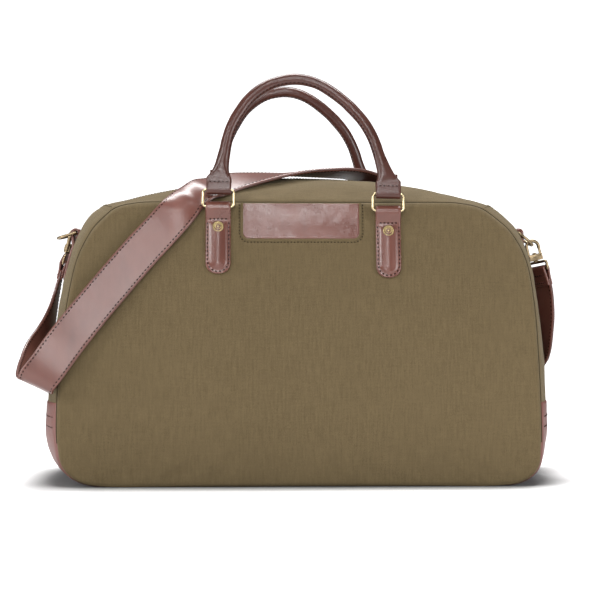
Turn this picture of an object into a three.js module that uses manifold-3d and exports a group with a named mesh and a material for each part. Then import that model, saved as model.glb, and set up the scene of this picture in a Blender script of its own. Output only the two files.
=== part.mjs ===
// A canvas duffel bag with leather handles, ring tabs, corner patches and a clip-on shoulder strap.
// Millimetres. +X runs to the bag's right, the front panel faces -Y, +Z is up.
// The origin is the middle of the base, on the surface that the bag stands on.
import * as THREE from 'three';
import { mergeVertices } from 'three/addons/utils/BufferGeometryUtils.js';
import Module from 'manifold-3d';

const wasm = await Module();
wasm.setup();

// ---- Driving dimensions ----
const SEAM_GAP = 0.3; // clearance between pieces that touch
const SHELL = 2.4; // canvas with its backing
const PANEL_TOP = 286.5; // height of the seam along the top of each panel
const BASE_LEFT = 188; // how far the flat base runs to each side
const BASE_RIGHT = 196;
const BASE_DEPTH = 113; // half depth of the bag at the base
const TOP_TAPER = 31; // how much shallower each half is at the top seam
const TAPER_POWER = 2.2;
const PANEL_CROWN = 5; // outward bulge of a panel's middle
const RIDGE_RADIUS = 700; // arc of the zip line
const RIDGE_CENTRE_Z = -384.5; // height of that arc's centre
const GUSSET_POWER = 3; // how squarely the gusset swells between its two seams

const STRAP_WIDTH = 38;
const STRAP_THICK = 3.5;
const TAB_WIDTH = 25.5;
const TAB_THICK = 3.2;
const TAB_LENGTH = 68; // from the rounded end up to the ring's lower bar
const TAB_OFFSET = 6.7; // how far the ring's lower bar stands off the panel
const LOOP_OUTER = 3.6; // leather round a ring's lower bar
const LOOP_BORE = 2;
const RING_WIDTH = 34;
const RING_PITCH = 17.5; // between the middles of the ring's two bars
const WIRE = 2.8;
const HANDLE_LEAN = 10.8; // degrees that a handle leans in over the bag
const HANDLE_RADIUS = 5.8;
const CORE_RADIUS = 2.5;
const RIVET_RADIUS = 5.7;
const RIVET_DROP = 20.5; // from the ring's lower bar down to the rivet

const ZIP_HALF_OPENING = 7; // from the zip line to each canvas edge
const CHAIN_HALF = 2.8;
const SLIDER_X = 94;

const HANDLES = [
  { name: 'front', face: -1, leftX: -82, rightX: 90, leftZ: 281.5, rightZ: 277.5 },
  { name: 'rear', face: 1, leftX: -84, rightX: 80, leftZ: 281.5, rightZ: 281.5 },
];

const ENDS = [
  {
    name: 'left',
    side: -1,
    ringDirection: [-0.966, 0, -0.259],
    clipReach: 8,
    clipY: 14.36,
    hookUp: [0.25, -0.2, 0.947],
    gateSide: [0, 1, 0],
    eyeAcross: [0, 1, 0.2],
  },
  {
    name: 'right',
    side: 1,
    ringDirection: [0.79, 0, -0.613],
    clipReach: 20.5,
    clipY: 0,
    hookUp: [-0.24, 0, 0.971],
    gateSide: [1, 0, 0],
    eyeAcross: [-0.33, 0.94, -0.04],
  },
];

// ---- Materials ----
const finish = (color, roughness, metalness = 0) => () =>
  new THREE.MeshStandardMaterial({ color, roughness, metalness });
const canvas = finish(0x76684a, 0.95);
const leather = finish(0x80504a, 0.45);
const leatherDark = finish(0x5a3430, 0.5);
const brass = finish(0xd8c79a, 0.25, 1);
const antiqueBrass = finish(0x96874b, 0.4, 1);
const cloth = finish(0x4b4436, 0.9);
const board = finish(0x3a3632, 0.8);

const bag = new THREE.Group();

function place(parent, name, geometry, material) {
  const mesh = new THREE.Mesh(geometry, material());
  mesh.name = name;
  parent.add(mesh);
  return mesh;
}

const vector = (x, y, z) => new THREE.Vector3(x, y, z);
const radians = THREE.MathUtils.degToRad;

// ---- Solids ----
function signedVolume(geometry) {
  const p = geometry.getAttribute('position');
  const order = geometry.index ? geometry.index.array : [...Array(p.count).keys()];
  let total = 0;
  for (let i = 0; i < order.length; i += 3) {
    const [a, b, c] = [0, 1, 2].map((k) => vector().fromBufferAttribute(p, order[i + k]));
    total += a.dot(b.cross(c));
  }
  return total / 6;
}

// One closed surface with shared corners and its faces turned outwards.
function closed(geometry) {
  const bare = new THREE.BufferGeometry();
  bare.setAttribute('position', geometry.getAttribute('position'));
  bare.setIndex(geometry.index);
  const merged = mergeVertices(bare, 1e-4);
  if (signedVolume(merged) < 0) {
    const order = merged.index.array;
    for (let i = 0; i < order.length; i += 3) {
      [order[i + 1], order[i + 2]] = [order[i + 2], order[i + 1]];
    }
  }
  return merged;
}

function toManifold(geometry) {
  const g = closed(geometry);
  const mesh = new wasm.Mesh({
    numProp: 3,
    vertProperties: g.attributes.position.array,
    triVerts: new Uint32Array(g.index.array),
  });
  return new wasm.Manifold(mesh);
}

function fromManifold(solid) {
  const mesh = solid.getMesh();
  const geometry = new THREE.BufferGeometry();
  const positions = new THREE.BufferAttribute(new Float32Array(mesh.vertProperties), 3);
  geometry.setAttribute('position', positions);
  geometry.setIndex(new THREE.BufferAttribute(new Uint32Array(mesh.triVerts), 1));
  return geometry;
}

// Joins the first list's solids and cuts the second list's out of them.
function carve(joined, removed = []) {
  let solid = joined.map(toManifold).reduce((a, b) => a.add(b));
  for (const tool of removed) {
    solid = solid.subtract(toManifold(tool));
  }
  return fromManifold(solid);
}

// A solid through a row of closed rings that all have the same number of points.
// The two end faces are strips between each point and its opposite.
function loft(rings) {
  const count = rings[0].length;
  const positions = rings.flat().flatMap((p) => [p.x, p.y, p.z]);
  const order = [];
  for (let i = 0; i + 1 < rings.length; i++) {
    for (let k = 0; k < count; k++) {
      const [a, b] = [i * count + k, i * count + ((k + 1) % count)];
      order.push(a, a + count, b + count, a, b + count, b);
    }
  }
  const last = (rings.length - 1) * count;
  for (let k = 0; k < count / 2 - 1; k++) {
    const quad = [k, k + 1, count - 2 - k, count - 1 - k];
    for (const [a, b, c] of [[0, 1, 2], [0, 2, 3]]) {
      order.push(quad[a], quad[b], quad[c]);
      order.push(last + quad[a], last + quad[c], last + quad[b]);
    }
  }
  const geometry = new THREE.BufferGeometry();
  geometry.setAttribute('position', new THREE.Float32BufferAttribute(positions, 3));
  geometry.setIndex(order);
  return closed(geometry);
}

// A sheet between rows of points on its outer face and rows on its inner face.
const sheet = (outer, inner) => loft(outer.map((row, i) => [...row, ...inner[i].toReversed()]));

// A round rod from one point to another.
function rod(from, to, radius, sides = 12) {
  const axis = vector().subVectors(to, from);
  const geometry = new THREE.CylinderGeometry(radius, radius, axis.length(), sides);
  const turn = new THREE.Quaternion().setFromUnitVectors(vector(0, 1, 0), axis.normalize());
  geometry.applyQuaternion(turn);
  geometry.translate(...vector().addVectors(from, to).multiplyScalar(0.5).toArray());
  return geometry;
}

function block(x0, x1, y0, y1, z0, z1) {
  const geometry = new THREE.BoxGeometry(x1 - x0, y1 - y0, z1 - z0);
  return geometry.translate((x0 + x1) / 2, (y0 + y1) / 2, (z0 + z1) / 2);
}

function roundedRectangle(path, width, height, radius) {
  const [x, y] = [width / 2, height / 2];
  path.moveTo(-x + radius, -y);
  path.lineTo(x - radius, -y);
  path.absarc(x - radius, -y + radius, radius, -Math.PI / 2, 0);
  path.lineTo(x, y - radius);
  path.absarc(x - radius, y - radius, radius, 0, Math.PI / 2);
  path.lineTo(-x + radius, y);
  path.absarc(-x + radius, y - radius, radius, Math.PI / 2, Math.PI);
  path.lineTo(-x, -y + radius);
  path.absarc(-x + radius, -y + radius, radius, Math.PI, 1.5 * Math.PI);
  return path;
}

// A flat outline given a thickness along Z, centred, with its edges broken by a bevel.
function plate(shape, thickness, bevel = 0.8, curveSegments = 3) {
  const geometry = new THREE.ExtrudeGeometry(shape, {
    depth: thickness - 2 * bevel,
    bevelEnabled: true,
    bevelThickness: bevel,
    bevelSize: bevel,
    bevelOffset: -bevel,
    bevelSegments: 1,
    curveSegments,
  });
  return geometry.translate(0, 0, bevel - thickness / 2);
}

function wireFrame(width, height, wire, radius) {
  const shape = roundedRectangle(new THREE.Shape(), width, height, radius);
  const inner = roundedRectangle(new THREE.Path(), width - 2 * wire, height - 2 * wire, radius - wire * 0.7);
  shape.holes.push(inner);
  return plate(shape, wire);
}

// ---- The bag's surface ----
const ridgeZ = (x) => RIDGE_CENTRE_Z + Math.sqrt(RIDGE_RADIUS ** 2 - x ** 2);

// Half of each panel's outline, from the base to the middle of the top, as left x, right x and z.
// The bag stands a little unevenly, so its two ends differ.
const PANEL_POINTS = [
  [150, 150, 0], [BASE_LEFT, BASE_RIGHT, 0], [218, 224, 4], [236, 240, 18], [242, 243, 40], [243, 243, 75],
  [240, 241, 130], [234, 238, 180], [225, 231, 225], [212, 217, 254], [199, 201, 270],
  [185, 185, 281], [165, 165, 285.5], [146, 146, PANEL_TOP], [100, 100, PANEL_TOP],
  [50, 50, PANEL_TOP], [0, 0, PANEL_TOP],
];
// The matching points of the gusset's middle line, halfway between the panels.
const RIDGE_POINTS = [
  [150, 150, 0], [BASE_LEFT, BASE_RIGHT, 0], [218, 226, 5], [246, 248, 18], [259, 257, 42],
  [259.5, 258.5, 75], [255, 256.5, 130], [247.5, 251.5, 180], [238, 243.5, 227],
  [227, 229.5, 259], [216, 215, 276],
  ...[200, 174, 150, 100, 50, 0].map((x) => [x, x, ridgeZ(x)]),
];
const outline = (points, column) =>
  new THREE.CatmullRomCurve3(points.map((p) => vector(p[column], 0, p[2])), false, 'catmullrom');
const bothSides = (points) => ({ [-1]: outline(points, 0), 1: outline(points, 1) });
const panelCurves = bothSides(PANEL_POINTS);
const ridgeCurves = bothSides(RIDGE_POINTS);
const TOP_MIDDLE = PANEL_POINTS.length - 1;
const PATCH_END = 5.15; // station where a corner patch ends
const SHOULDER = 11; // station where the zip ends
const SEAM_END = 13; // station where the panel's straight top seam starts

const pointAt = (curves, side, station) => curves[side].getPoint(station / TOP_MIDDLE);
const halfDepth = (z) => BASE_DEPTH - TOP_TAPER * Math.max(z / PANEL_TOP, 0) ** TAPER_POWER;
const gussetReach = (station) => halfDepth(pointAt(panelCurves, 1, station).z) - SHELL - SEAM_GAP;

// A point of the gusset, which runs all the way round between the two panels.
function gusset(station, side, y, inset = 0) {
  const swell = 1 - Math.min(Math.abs(y) / gussetReach(station), 1) ** GUSSET_POWER;
  const on = (s) => pointAt(panelCurves, side, s).lerp(pointAt(ridgeCurves, side, s), swell);
  const along = on(Math.min(station + 0.05, TOP_MIDDLE)).sub(on(station - 0.05)).normalize();
  const point = on(station);
  point.x = side * (point.x - inset * along.z);
  point.z += inset * along.x;
  point.y = y;
  return point;
}

function panelDepth(x, z) {
  const crown = PANEL_CROWN * (1 - (x / 250) ** 2) * Math.sin((Math.PI * z) / 290);
  return halfDepth(z) + Math.max(crown, 0);
}

const onPanel = (face, x, z, offset) => vector(x, face * (panelDepth(x, z) + offset), z);

const spread = (from, to, steps) =>
  Array.from({ length: steps + 1 }, (_, i) => from + ((to - from) * i) / steps);

// A sheet that lies on a panel: each row holds its height, its left and right ends and its lift.
function drape(face, rows, thickness, columns) {
  const points = (extra) =>
    rows.map(({ z, left, right, lift }) =>
      spread(left, right, columns).map((x) => onPanel(face, x, z, lift + extra)),
    );
  return sheet(points(thickness), points(0));
}

// ---- Shell ----
function panel(face, rivets) {
  const stations = [1, 1.5, 2, 2.5, 3, 3.5, 4, 5, 6, 7, 8, 9, 10, 11, 12, SEAM_END];
  const rows = stations.map((station) => {
    const { x: left, z } = pointAt(panelCurves, -1, station);
    return { z, left: -left, right: pointAt(panelCurves, 1, station).x, lift: -SHELL };
  });
  return carve([drape(face, rows, SHELL, 12)], rivets);
}

// A strip of gusset between two stations and two depths, given the inset of its outer face.
function gussetStrip(stations, ys, outerInset, thickness) {
  const face = (extra) =>
    stations.map(({ station, side = 1, under = 0 }) =>
      ys(station).map((y) => gusset(station, side, y, outerInset + under + extra)),
    );
  return sheet(face(0), face(thickness));
}

const PATCH = 2; // leather of the corner patches
const UNDER_PATCH = PATCH + 1.2; // depth of the canvas below a corner patch's outer face
const PATCH_STATIONS = [1.03, 1.5, 2, 2.5, 3, 3.5, 4, 4.5, 5, PATCH_END];
const acrossGusset = (station) => spread(-1, 1, 10).map((s) => s * gussetReach(station));

function sideGusset(side) {
  const open = [PATCH_END + 0.04, 6, 7, 8, 9, 9.5, 10, 10.5, SHOULDER - 0.02];
  const stations = [
    ...PATCH_STATIONS.map((station) => ({ station, side, under: UNDER_PATCH })),
    ...open.map((station) => ({ station, side })),
  ];
  return gussetStrip(stations, acrossGusset, 0, SHELL);
}

function cornerPatch(side) {
  const stations = PATCH_STATIONS.map((station) => ({ station, side }));
  return gussetStrip(stations, acrossGusset, 0, PATCH);
}

// Stations from the left shoulder over the top to the right shoulder.
function overTheTop(margin, perSide) {
  const half = spread(SHOULDER + margin, TOP_MIDDLE, perSide);
  return [
    ...half.map((station) => ({ station, side: -1 })),
    ...half.slice(0, -1).toReversed().map((station) => ({ station, side: 1 })),
  ];
}

function topGusset(face) {
  const ys = (station) => spread(gussetReach(station), ZIP_HALF_OPENING, 5).map((y) => face * y);
  return gussetStrip(overTheTop(0, 8), ys, 0, SHELL);
}

function zipTape(face) {
  const ys = () => [17, 9, SEAM_GAP].map((y) => face * y);
  return gussetStrip(overTheTop(0.1, 8), ys, SHELL + SEAM_GAP, 0.8);
}

function basePanel() {
  const y = BASE_DEPTH - SHELL - SEAM_GAP;
  return block(-BASE_LEFT + SEAM_GAP, BASE_RIGHT - SEAM_GAP, -y, y, 0, SHELL);
}

function baseBoard() {
  const shape = roundedRectangle(new THREE.Shape(), 374, 204, 12);
  return plate(shape, 2.6, 0.4, 3).translate(3, 0, SHELL + SEAM_GAP + 1.3);
}

const LINING_BOTTOM = 7.5; // clear of the base board and of the gussets' turned-under ends

// The lining is an open bag that hangs inside the shell.
function lining() {
  const corner = 0.75;
  const loop = (station, inset, z) => {
    const { x } = pointAt(panelCurves, -1, station);
    const [a, b] = [x - inset, halfDepth(z) - inset];
    return spread(0, 2 * Math.PI, 24).slice(0, -1).map((t) => {
      const [c, s] = [Math.cos(t), Math.sin(t)];
      const power = (v) => Math.sign(v) * Math.abs(v) ** corner;
      return vector(a * power(c), b * power(s), z);
    });
  };
  const stations = [2, 3, 4, 5, 6, 7, 8, 9, 10];
  const levels = stations.map((station) => ({
    station,
    z: Math.max(pointAt(panelCurves, 1, station).z, LINING_BOTTOM),
  }));
  const inset = (i) => (i === 0 ? 30 : 9.5);
  const outer = levels.map(({ station, z }, i) => loop(station, inset(i), z));
  const inner = levels.map(({ station, z }, i) => loop(station, inset(i) + 1, i === 0 ? z + 1 : z));
  const rings = [...outer, ...inner.toReversed()];
  return loft(rings);
}

const labelRows = [
  { z: 249, inset: 6 }, { z: 249.8, inset: 3 }, { z: 252, inset: 0.8 }, { z: 255, inset: 0 },
  { z: 270, inset: 0 }, { z: 285.5, inset: 0 },
];

function label() {
  const [left, right] = [-57, 61];
  const row = ({ z, inset }) => ({ z, left: left + inset, right: right - inset, lift: SEAM_GAP });
  return drape(-1, labelRows.map(row), 1.5, 6);
}

// ---- Handles, their rings and their tabs ----
// A point on the line through the lower bars of a handle's two rings.
function loopAxis({ face, leftX, rightX, leftZ, rightZ }, x) {
  const left = onPanel(face, leftX, leftZ, TAB_OFFSET);
  const right = onPanel(face, rightX, rightZ, TAB_OFFSET);
  return left.lerp(right, (x - leftX) / (rightX - leftX));
}

function ringTab(handle, x, rivet) {
  const { z: top } = loopAxis(handle, x);
  const half = TAB_WIDTH / 2;
  const bottom = top - TAB_LENGTH;
  const lift = (z) => SEAM_GAP + 2.5 * THREE.MathUtils.smoothstep(z, top - 13, top - 4);
  const row = (z, width) => ({ z, left: x - width, right: x + width, lift: lift(z) });
  const end = [15, 35, 55, 75, 90].map((angle) => {
    const t = radians(angle);
    return row(bottom + half * (1 - Math.cos(t)), half * Math.sin(t));
  });
  const body = [22, 34, 46, 52, 57, 62, TAB_LENGTH].map((rise) => row(bottom + rise, half));
  const tab = drape(handle.face, [...end, ...body], TAB_THICK, 4);
  const ends = [-half, half].map((step) => loopAxis(handle, x + step));
  const middle = vector().addVectors(ends[0], ends[1]).multiplyScalar(0.5);
  const stretched = ends.map((p) => vector().subVectors(p, middle).multiplyScalar(1.4).add(middle));
  return carve([tab, rod(...ends, LOOP_OUTER, 14)], [rod(...stretched, LOOP_BORE, 12), rivet]);
}

// Where a rivet goes through, and the direction that it points out of the panel.
function rivetSeat(handle, x) {
  const z = loopAxis(handle, x).z - RIVET_DROP;
  const at = onPanel(handle.face, x, z, SEAM_GAP + TAB_THICK);
  const up = onPanel(handle.face, x, z + 1, 0).sub(onPanel(handle.face, x, z - 1, 0)).normalize();
  const out = vector().crossVectors(up, vector(1, 0, 0)).normalize();
  if (out.y * handle.face < 0) {
    out.negate();
  }
  return { at, out };
}

const RIVET_SHANK = 2;
const RIVET_LENGTH = 8;

function turned(profile, sides, seat) {
  const geometry = new THREE.LatheGeometry(profile.map(([r, h]) => new THREE.Vector2(r, h)), sides);
  geometry.applyQuaternion(new THREE.Quaternion().setFromUnitVectors(vector(0, 1, 0), seat.out));
  return closed(geometry.translate(...seat.at.toArray()));
}

const rivet = (seat) =>
  turned(
    [[0, -RIVET_LENGTH], [RIVET_SHANK, -RIVET_LENGTH], [RIVET_SHANK, SEAM_GAP], [RIVET_RADIUS, SEAM_GAP],
      [RIVET_RADIUS, 1], [4.6, 1.9], [2.6, 2.4], [0, 2.6]],
    16,
    seat,
  );

function washer(seat) {
  const outerFace = -(SEAM_GAP + TAB_THICK + SHELL + SEAM_GAP);
  const ring = [[RIVET_SHANK + SEAM_GAP, outerFace - 1], [4.8, outerFace - 1], [4.8, outerFace],
    [RIVET_SHANK + SEAM_GAP, outerFace]];
  return turned([...ring, ring[0]], 14, seat);
}

const rivetHole = ({ at, out }) =>
  rod(at.clone().addScaledVector(out, -12), at.clone().addScaledVector(out, 3), RIVET_SHANK + SEAM_GAP, 10);

// The handle's middle line above the rings' lower bars, for a set of loops this far apart.
const ARCH_SPAN = 172;
const ARCH = [
  [0, RING_PITCH], [0.4, 25], [1.6, 36], [4.8, 56], [10, 80], [20, 101], [33.4, 118.5], [51.3, 130.7],
  [73, 136], [92.2, 134], [110.2, 125.4], [129.1, 110.8], [145, 93.8], [156, 75.2], [163, 55.5],
  [169.5, 36], [171.5, 25], [ARCH_SPAN, RING_PITCH],
];
// Half width and half thickness of the handle, by the distance from the ring's upper bar.
const FLARE = [
  [0, 12.5, 4], [11, 12.5, 4], [16, 11, 4.3], [22, 8.4, 4.9], [30, 6.9, 5.4],
  [42, HANDLE_RADIUS, HANDLE_RADIUS],
];

function flareAt(distance) {
  const next = FLARE.findIndex(([d]) => d > distance);
  if (next < 0) {
    return FLARE.at(-1).slice(1);
  }
  const [a, b] = [FLARE[next - 1], FLARE[next]];
  const t = (distance - a[0]) / (b[0] - a[0]);
  return [1, 2].map((k) => a[k] + (b[k] - a[k]) * t);
}

function handleCurve(span) {
  return new THREE.CatmullRomCurve3(ARCH.map(([x, z]) => vector((x * span) / ARCH_SPAN, 0, z)));
}

// Rings along the handle between two shares of its length, each as wide and thick as sizeAt says.
function handleRings(curve, from, to, steps, sides, sizeAt) {
  const length = curve.getLength();
  return spread(from, to, steps).map((u) => {
    const middle = curve.getPointAt(u);
    const along = curve.getTangentAt(u);
    const [wide, thick] = sizeAt(Math.min(u, 1 - u) * length);
    return spread(0, 2 * Math.PI, sides).slice(0, -1).map((t) => {
      const reach = wide * Math.cos(t);
      return vector(middle.x + along.z * reach, thick * Math.sin(t), middle.z - along.x * reach);
    });
  });
}

function handleCover(curve, span) {
  const body = loft(handleRings(curve, 0.004, 0.996, 40, 10, flareAt));
  const bore = loft(handleRings(curve, 0, 1, 36, 8, () => [CORE_RADIUS + 0.4, CORE_RADIUS + 0.4]));
  const bars = [0, span].map((x) => [vector(x - 12.5, 0, RING_PITCH), vector(x + 12.5, 0, RING_PITCH)]);
  const wide = [0, span].map((x) => [vector(x - 15, 0, RING_PITCH), vector(x + 15, 0, RING_PITCH)]);
  return carve(
    [body, ...bars.map((ends) => rod(...ends, 4, 14))],
    [bore, ...wide.map((ends) => rod(...ends, LOOP_BORE, 12))],
  );
}

function handleCore(curve) {
  return loft(handleRings(curve, 0.02, 0.98, 34, 8, () => [CORE_RADIUS, CORE_RADIUS]));
}

function addHandle(handle) {
  const { name, face, leftX, rightX, leftZ, rightZ } = handle;
  const start = loopAxis(handle, leftX);
  const along = loopAxis(handle, rightX).sub(start);
  const span = along.length();
  const hanging = new THREE.Group();
  hanging.position.copy(start);
  hanging.quaternion.setFromUnitVectors(vector(1, 0, 0), along.normalize());
  const leaning = new THREE.Group();
  leaning.rotation.x = face * radians(HANDLE_LEAN);
  hanging.add(leaning);
  bag.add(hanging);

  for (const [side, x] of [['left', 0], ['right', span]]) {
    const ring = wireFrame(RING_WIDTH, RING_PITCH + WIRE, WIRE, 4.5);
    ring.rotateX(Math.PI / 2);
    ring.translate(x, 0, RING_PITCH / 2);
    place(leaning, `${name}_${side}_ring`, closed(ring), brass);
  }
  const curve = handleCurve(span);
  place(leaning, `${name}_handle_cover`, handleCover(curve, span), leatherDark);
  place(leaning, `${name}_handle_core`, handleCore(curve), cloth);

  const seats = [leftX, rightX].map((x) => rivetSeat(handle, x));
  place(bag, `${name}_panel`, panel(face, seats.map(rivetHole)), canvas);
  [['left', leftX], ['right', rightX]].forEach(([side, x], i) => {
    place(bag, `${name}_${side}_tab`, ringTab(handle, x, rivetHole(seats[i])), leather);
    place(bag, `${name}_${side}_rivet`, rivet(seats[i]), antiqueBrass);
    place(bag, `${name}_${side}_rivet_washer`, washer(seats[i]), antiqueBrass);
  });
}

// ---- Zip ----
const ZIP_DEPTH = 0.4; // the chain's top below the canvas

function zipChain() {
  const ys = () => [-CHAIN_HALF, 0, CHAIN_HALF];
  return gussetStrip(overTheTop(0.15, 12), ys, ZIP_DEPTH, SHELL - ZIP_DEPTH);
}

// The slider and its pull are drawn on the arc of the zip, X along it and Z out of the bag.
function addZipSlider() {
  const seat = new THREE.Group();
  seat.position.set(SLIDER_X, 0, ridgeZ(SLIDER_X));
  seat.rotation.y = Math.asin(SLIDER_X / RIDGE_RADIUS);
  bag.add(seat);
  const [length, leg] = [12, 1.6];
  const inner = CHAIN_HALF + 0.5;
  const top = block(-length / 2, length / 2, -inner - leg, inner + leg, 0, 1.3);
  const legs = [-1, 1].map((s) => {
    const [a, b] = [s * inner, s * (inner + leg)].sort((p, q) => p - q);
    return block(-length / 2, length / 2, a, b, -2.2, 0.6);
  });
  const ears = [-1, 1].map((s) => {
    const [a, b] = [s * 2.5, s * 4.4].sort((p, q) => p - q);
    return block(length / 2 - 1, length / 2 + 3, a, b, 0, 1.3);
  });
  place(seat, 'zip_slider', carve([top, ...legs, ...ears]), brass);

  const outlineShape = roundedRectangle(new THREE.Shape(), 26, 4.2, 1.8);
  const hole = new THREE.Path();
  hole.absarc(9.6, 0, 1.2, 0, 2 * Math.PI, true);
  outlineShape.holes.push(hole);
  const pull = plate(outlineShape, 1, 0.25, 4);
  pull.translate(length / 2 + 13.9, 0, 0.65);
  place(seat, 'zip_pull', closed(pull), brass);
}

// ---- Side tabs, D-rings and the strap's hooks ----
const D_LOOP_STATION = 8.87;
const D_TAB_STATIONS = [7.57, 7.9, 8.2, 8.4, 8.6, 8.75, D_LOOP_STATION];
const D_HALF = 14.5; // from the D-ring's middle to the middle of its wire
const D_STRAIGHT = 6; // length of its two straight legs
const D_WIRE = 3;

const dLoop = (side) => gusset(D_LOOP_STATION, side, 0, -4.4);

function dRingTab(side) {
  const half = TAB_WIDTH / 2;
  const lift = (station) => SEAM_GAP + 0.8 * THREE.MathUtils.smoothstep(station, 8.4, D_LOOP_STATION);
  const rows = (extra) =>
    D_TAB_STATIONS.map((station) =>
      spread(-half, half, 4).map((y) => gusset(station, side, y, -(lift(station) + extra))),
    );
  const { x, z } = dLoop(side);
  const bar = (reach) => [vector(x, -reach, z), vector(x, reach, z)];
  return carve(
    [sheet(rows(TAB_THICK), rows(0)), rod(...bar(half), LOOP_OUTER, 14)],
    [rod(...bar(half + 3), LOOP_BORE, 12)],
  );
}

function dRing() {
  const arch = (path, half, foot) => {
    path.moveTo(-half, foot);
    path.lineTo(half, foot);
    path.lineTo(half, D_STRAIGHT);
    path.absarc(0, D_STRAIGHT, half, 0, Math.PI);
    path.lineTo(-half, foot);
    return path;
  };
  const shape = arch(new THREE.Shape(), D_HALF + D_WIRE / 2, -D_WIRE / 2);
  shape.holes.push(arch(new THREE.Path(), D_HALF - D_WIRE / 2, D_WIRE / 2));
  return closed(plate(shape, WIRE, 0.8, 8));
}

// A group whose X and Y axes point the given ways.
function oriented(origin, xAxis, yAxis) {
  const group = new THREE.Group();
  const zAxis = vector().crossVectors(xAxis, yAxis);
  const basis = new THREE.Matrix4().makeBasis(xAxis, yAxis, zAxis);
  group.quaternion.setFromRotationMatrix(basis);
  group.position.copy(origin);
  return group;
}

const HOOK = {
  wire: 3.6, bay: 4.6, crown: 9, nose: 6.3, clip: 10.8, thick: 4, baseThick: 6.4,
  baseBottom: -6, baseTop: 1, pivotX: 6.4, pivotY: -1.2, eyeTop: -8.2, eyePitch: 8, eyeWire: 3,
};

// The hook: X across it, Y up to the crown, Z through it.
function hookBody() {
  const { wire, bay, crown, nose, thick, baseThick, baseBottom, baseTop, pivotX, pivotY } = HOOK;
  const outer = bay + wire;
  const shape = new THREE.Shape();
  shape.moveTo(-outer, baseBottom + 3);
  shape.lineTo(-bay, baseBottom + 3);
  shape.lineTo(-bay, crown);
  shape.absarc(0, crown, bay, Math.PI, 0, true);
  shape.lineTo(bay, nose);
  shape.lineTo(outer, nose + 0.6);
  shape.lineTo(outer, crown);
  shape.absarc(0, crown, outer, 0, Math.PI, false);
  shape.lineTo(-outer, baseBottom + 3);
  const arc = plate(shape, thick, 0.8, 8);
  const base = block(-6.5, outer, baseBottom, baseTop, -baseThick / 2, baseThick / 2);
  const slot = block(2.6, outer + 1, pivotY - 2.1, baseTop + 1, -1.5, 1.5);
  const pinHole = rod(vector(pivotX, pivotY, -5), vector(pivotX, pivotY, 5), 1.1, 10);
  const swivelBore = rod(vector(0, baseBottom - 1, 0), vector(0, baseTop + 1, 0), 2, 12);
  return carve([arc, base], [slot, pinHole, swivelBore]);
}

function hookGate() {
  const { nose, pivotX, pivotY } = HOOK;
  const bar = block(pivotX - 1.4, pivotX + 1.4, pivotY, nose - 0.35, -1.1, 1.1);
  const knuckle = rod(vector(pivotX, pivotY, -1.1), vector(pivotX, pivotY, 1.1), 1.6, 12);
  const pin = rod(vector(pivotX, pivotY, -2.9), vector(pivotX, pivotY, 2.9), 0.8, 8);
  return carve([bar, knuckle, pin]);
}

// The eye that the strap loops through, with the swivel post that is riveted over inside the hook.
function swivelEye() {
  const { eyeTop, eyePitch, eyeWire, baseBottom, baseTop } = HOOK;
  const frame = wireFrame(STRAP_WIDTH + 8, eyePitch + eyeWire, eyeWire, 3);
  frame.translate(0, eyeTop - eyePitch / 2, 0);
  const post = rod(vector(0, eyeTop, 0), vector(0, baseTop + 0.8, 0), 1.6, 12);
  const collar = rod(vector(0, eyeTop, 0), vector(0, baseBottom - 0.4, 0), 3, 12);
  const head = rod(vector(0, baseTop + 0.4, 0), vector(0, baseTop + 1.4, 0), 2.7, 12);
  return carve([frame, post, collar, head]);
}

const FOLD_LENGTH = 14.8; // from the eye's lower bar to the end of the stitched fold

// The strap's end, folded round the eye and stitched to itself.
function strapEnd() {
  const bar = HOOK.eyeTop - HOOK.eyePitch;
  const half = STRAP_WIDTH / 2;
  const round = rod(vector(-half, bar, 0), vector(half, bar, 0), 3.6, 14);
  const flat = block(-half, half, bar - FOLD_LENGTH, bar, -2.6, 2.6);
  const bore = rod(vector(-half - 1, bar, 0), vector(half + 1, bar, 0), LOOP_BORE, 12);
  return carve([round, flat], [bore]);
}

function addStrapFitting(end) {
  const { name, side } = end;
  place(bag, `${name}_d_tab`, dRingTab(side), leather);

  const bar = dLoop(side);
  const bow = vector(...end.ringDirection).normalize();
  const ring = oriented(bar, vector(0, 1, 0), bow);
  place(ring, `${name}_d_ring`, dRing(), brass);

  const up = vector(...end.hookUp).normalize();
  const clip = bar.clone().addScaledVector(bow, end.clipReach).add(vector(0, end.clipY, 0));
  const origin = clip.addScaledVector(up, -HOOK.clip);
  const across = (direction) => {
    const v = vector(...direction);
    return v.addScaledVector(up, -v.dot(up)).normalize();
  };
  const hook = oriented(origin, across(end.gateSide), up);
  place(hook, `${name}_hook`, hookBody(), brass);
  place(hook, `${name}_hook_gate`, hookGate(), brass);
  const eye = oriented(origin, across(end.eyeAcross), up);
  place(eye, `${name}_swivel_eye`, swivelEye(), brass);
  place(eye, `${name}_strap_end`, strapEnd(), leather);
  bag.add(ring, hook, eye);
}

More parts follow.
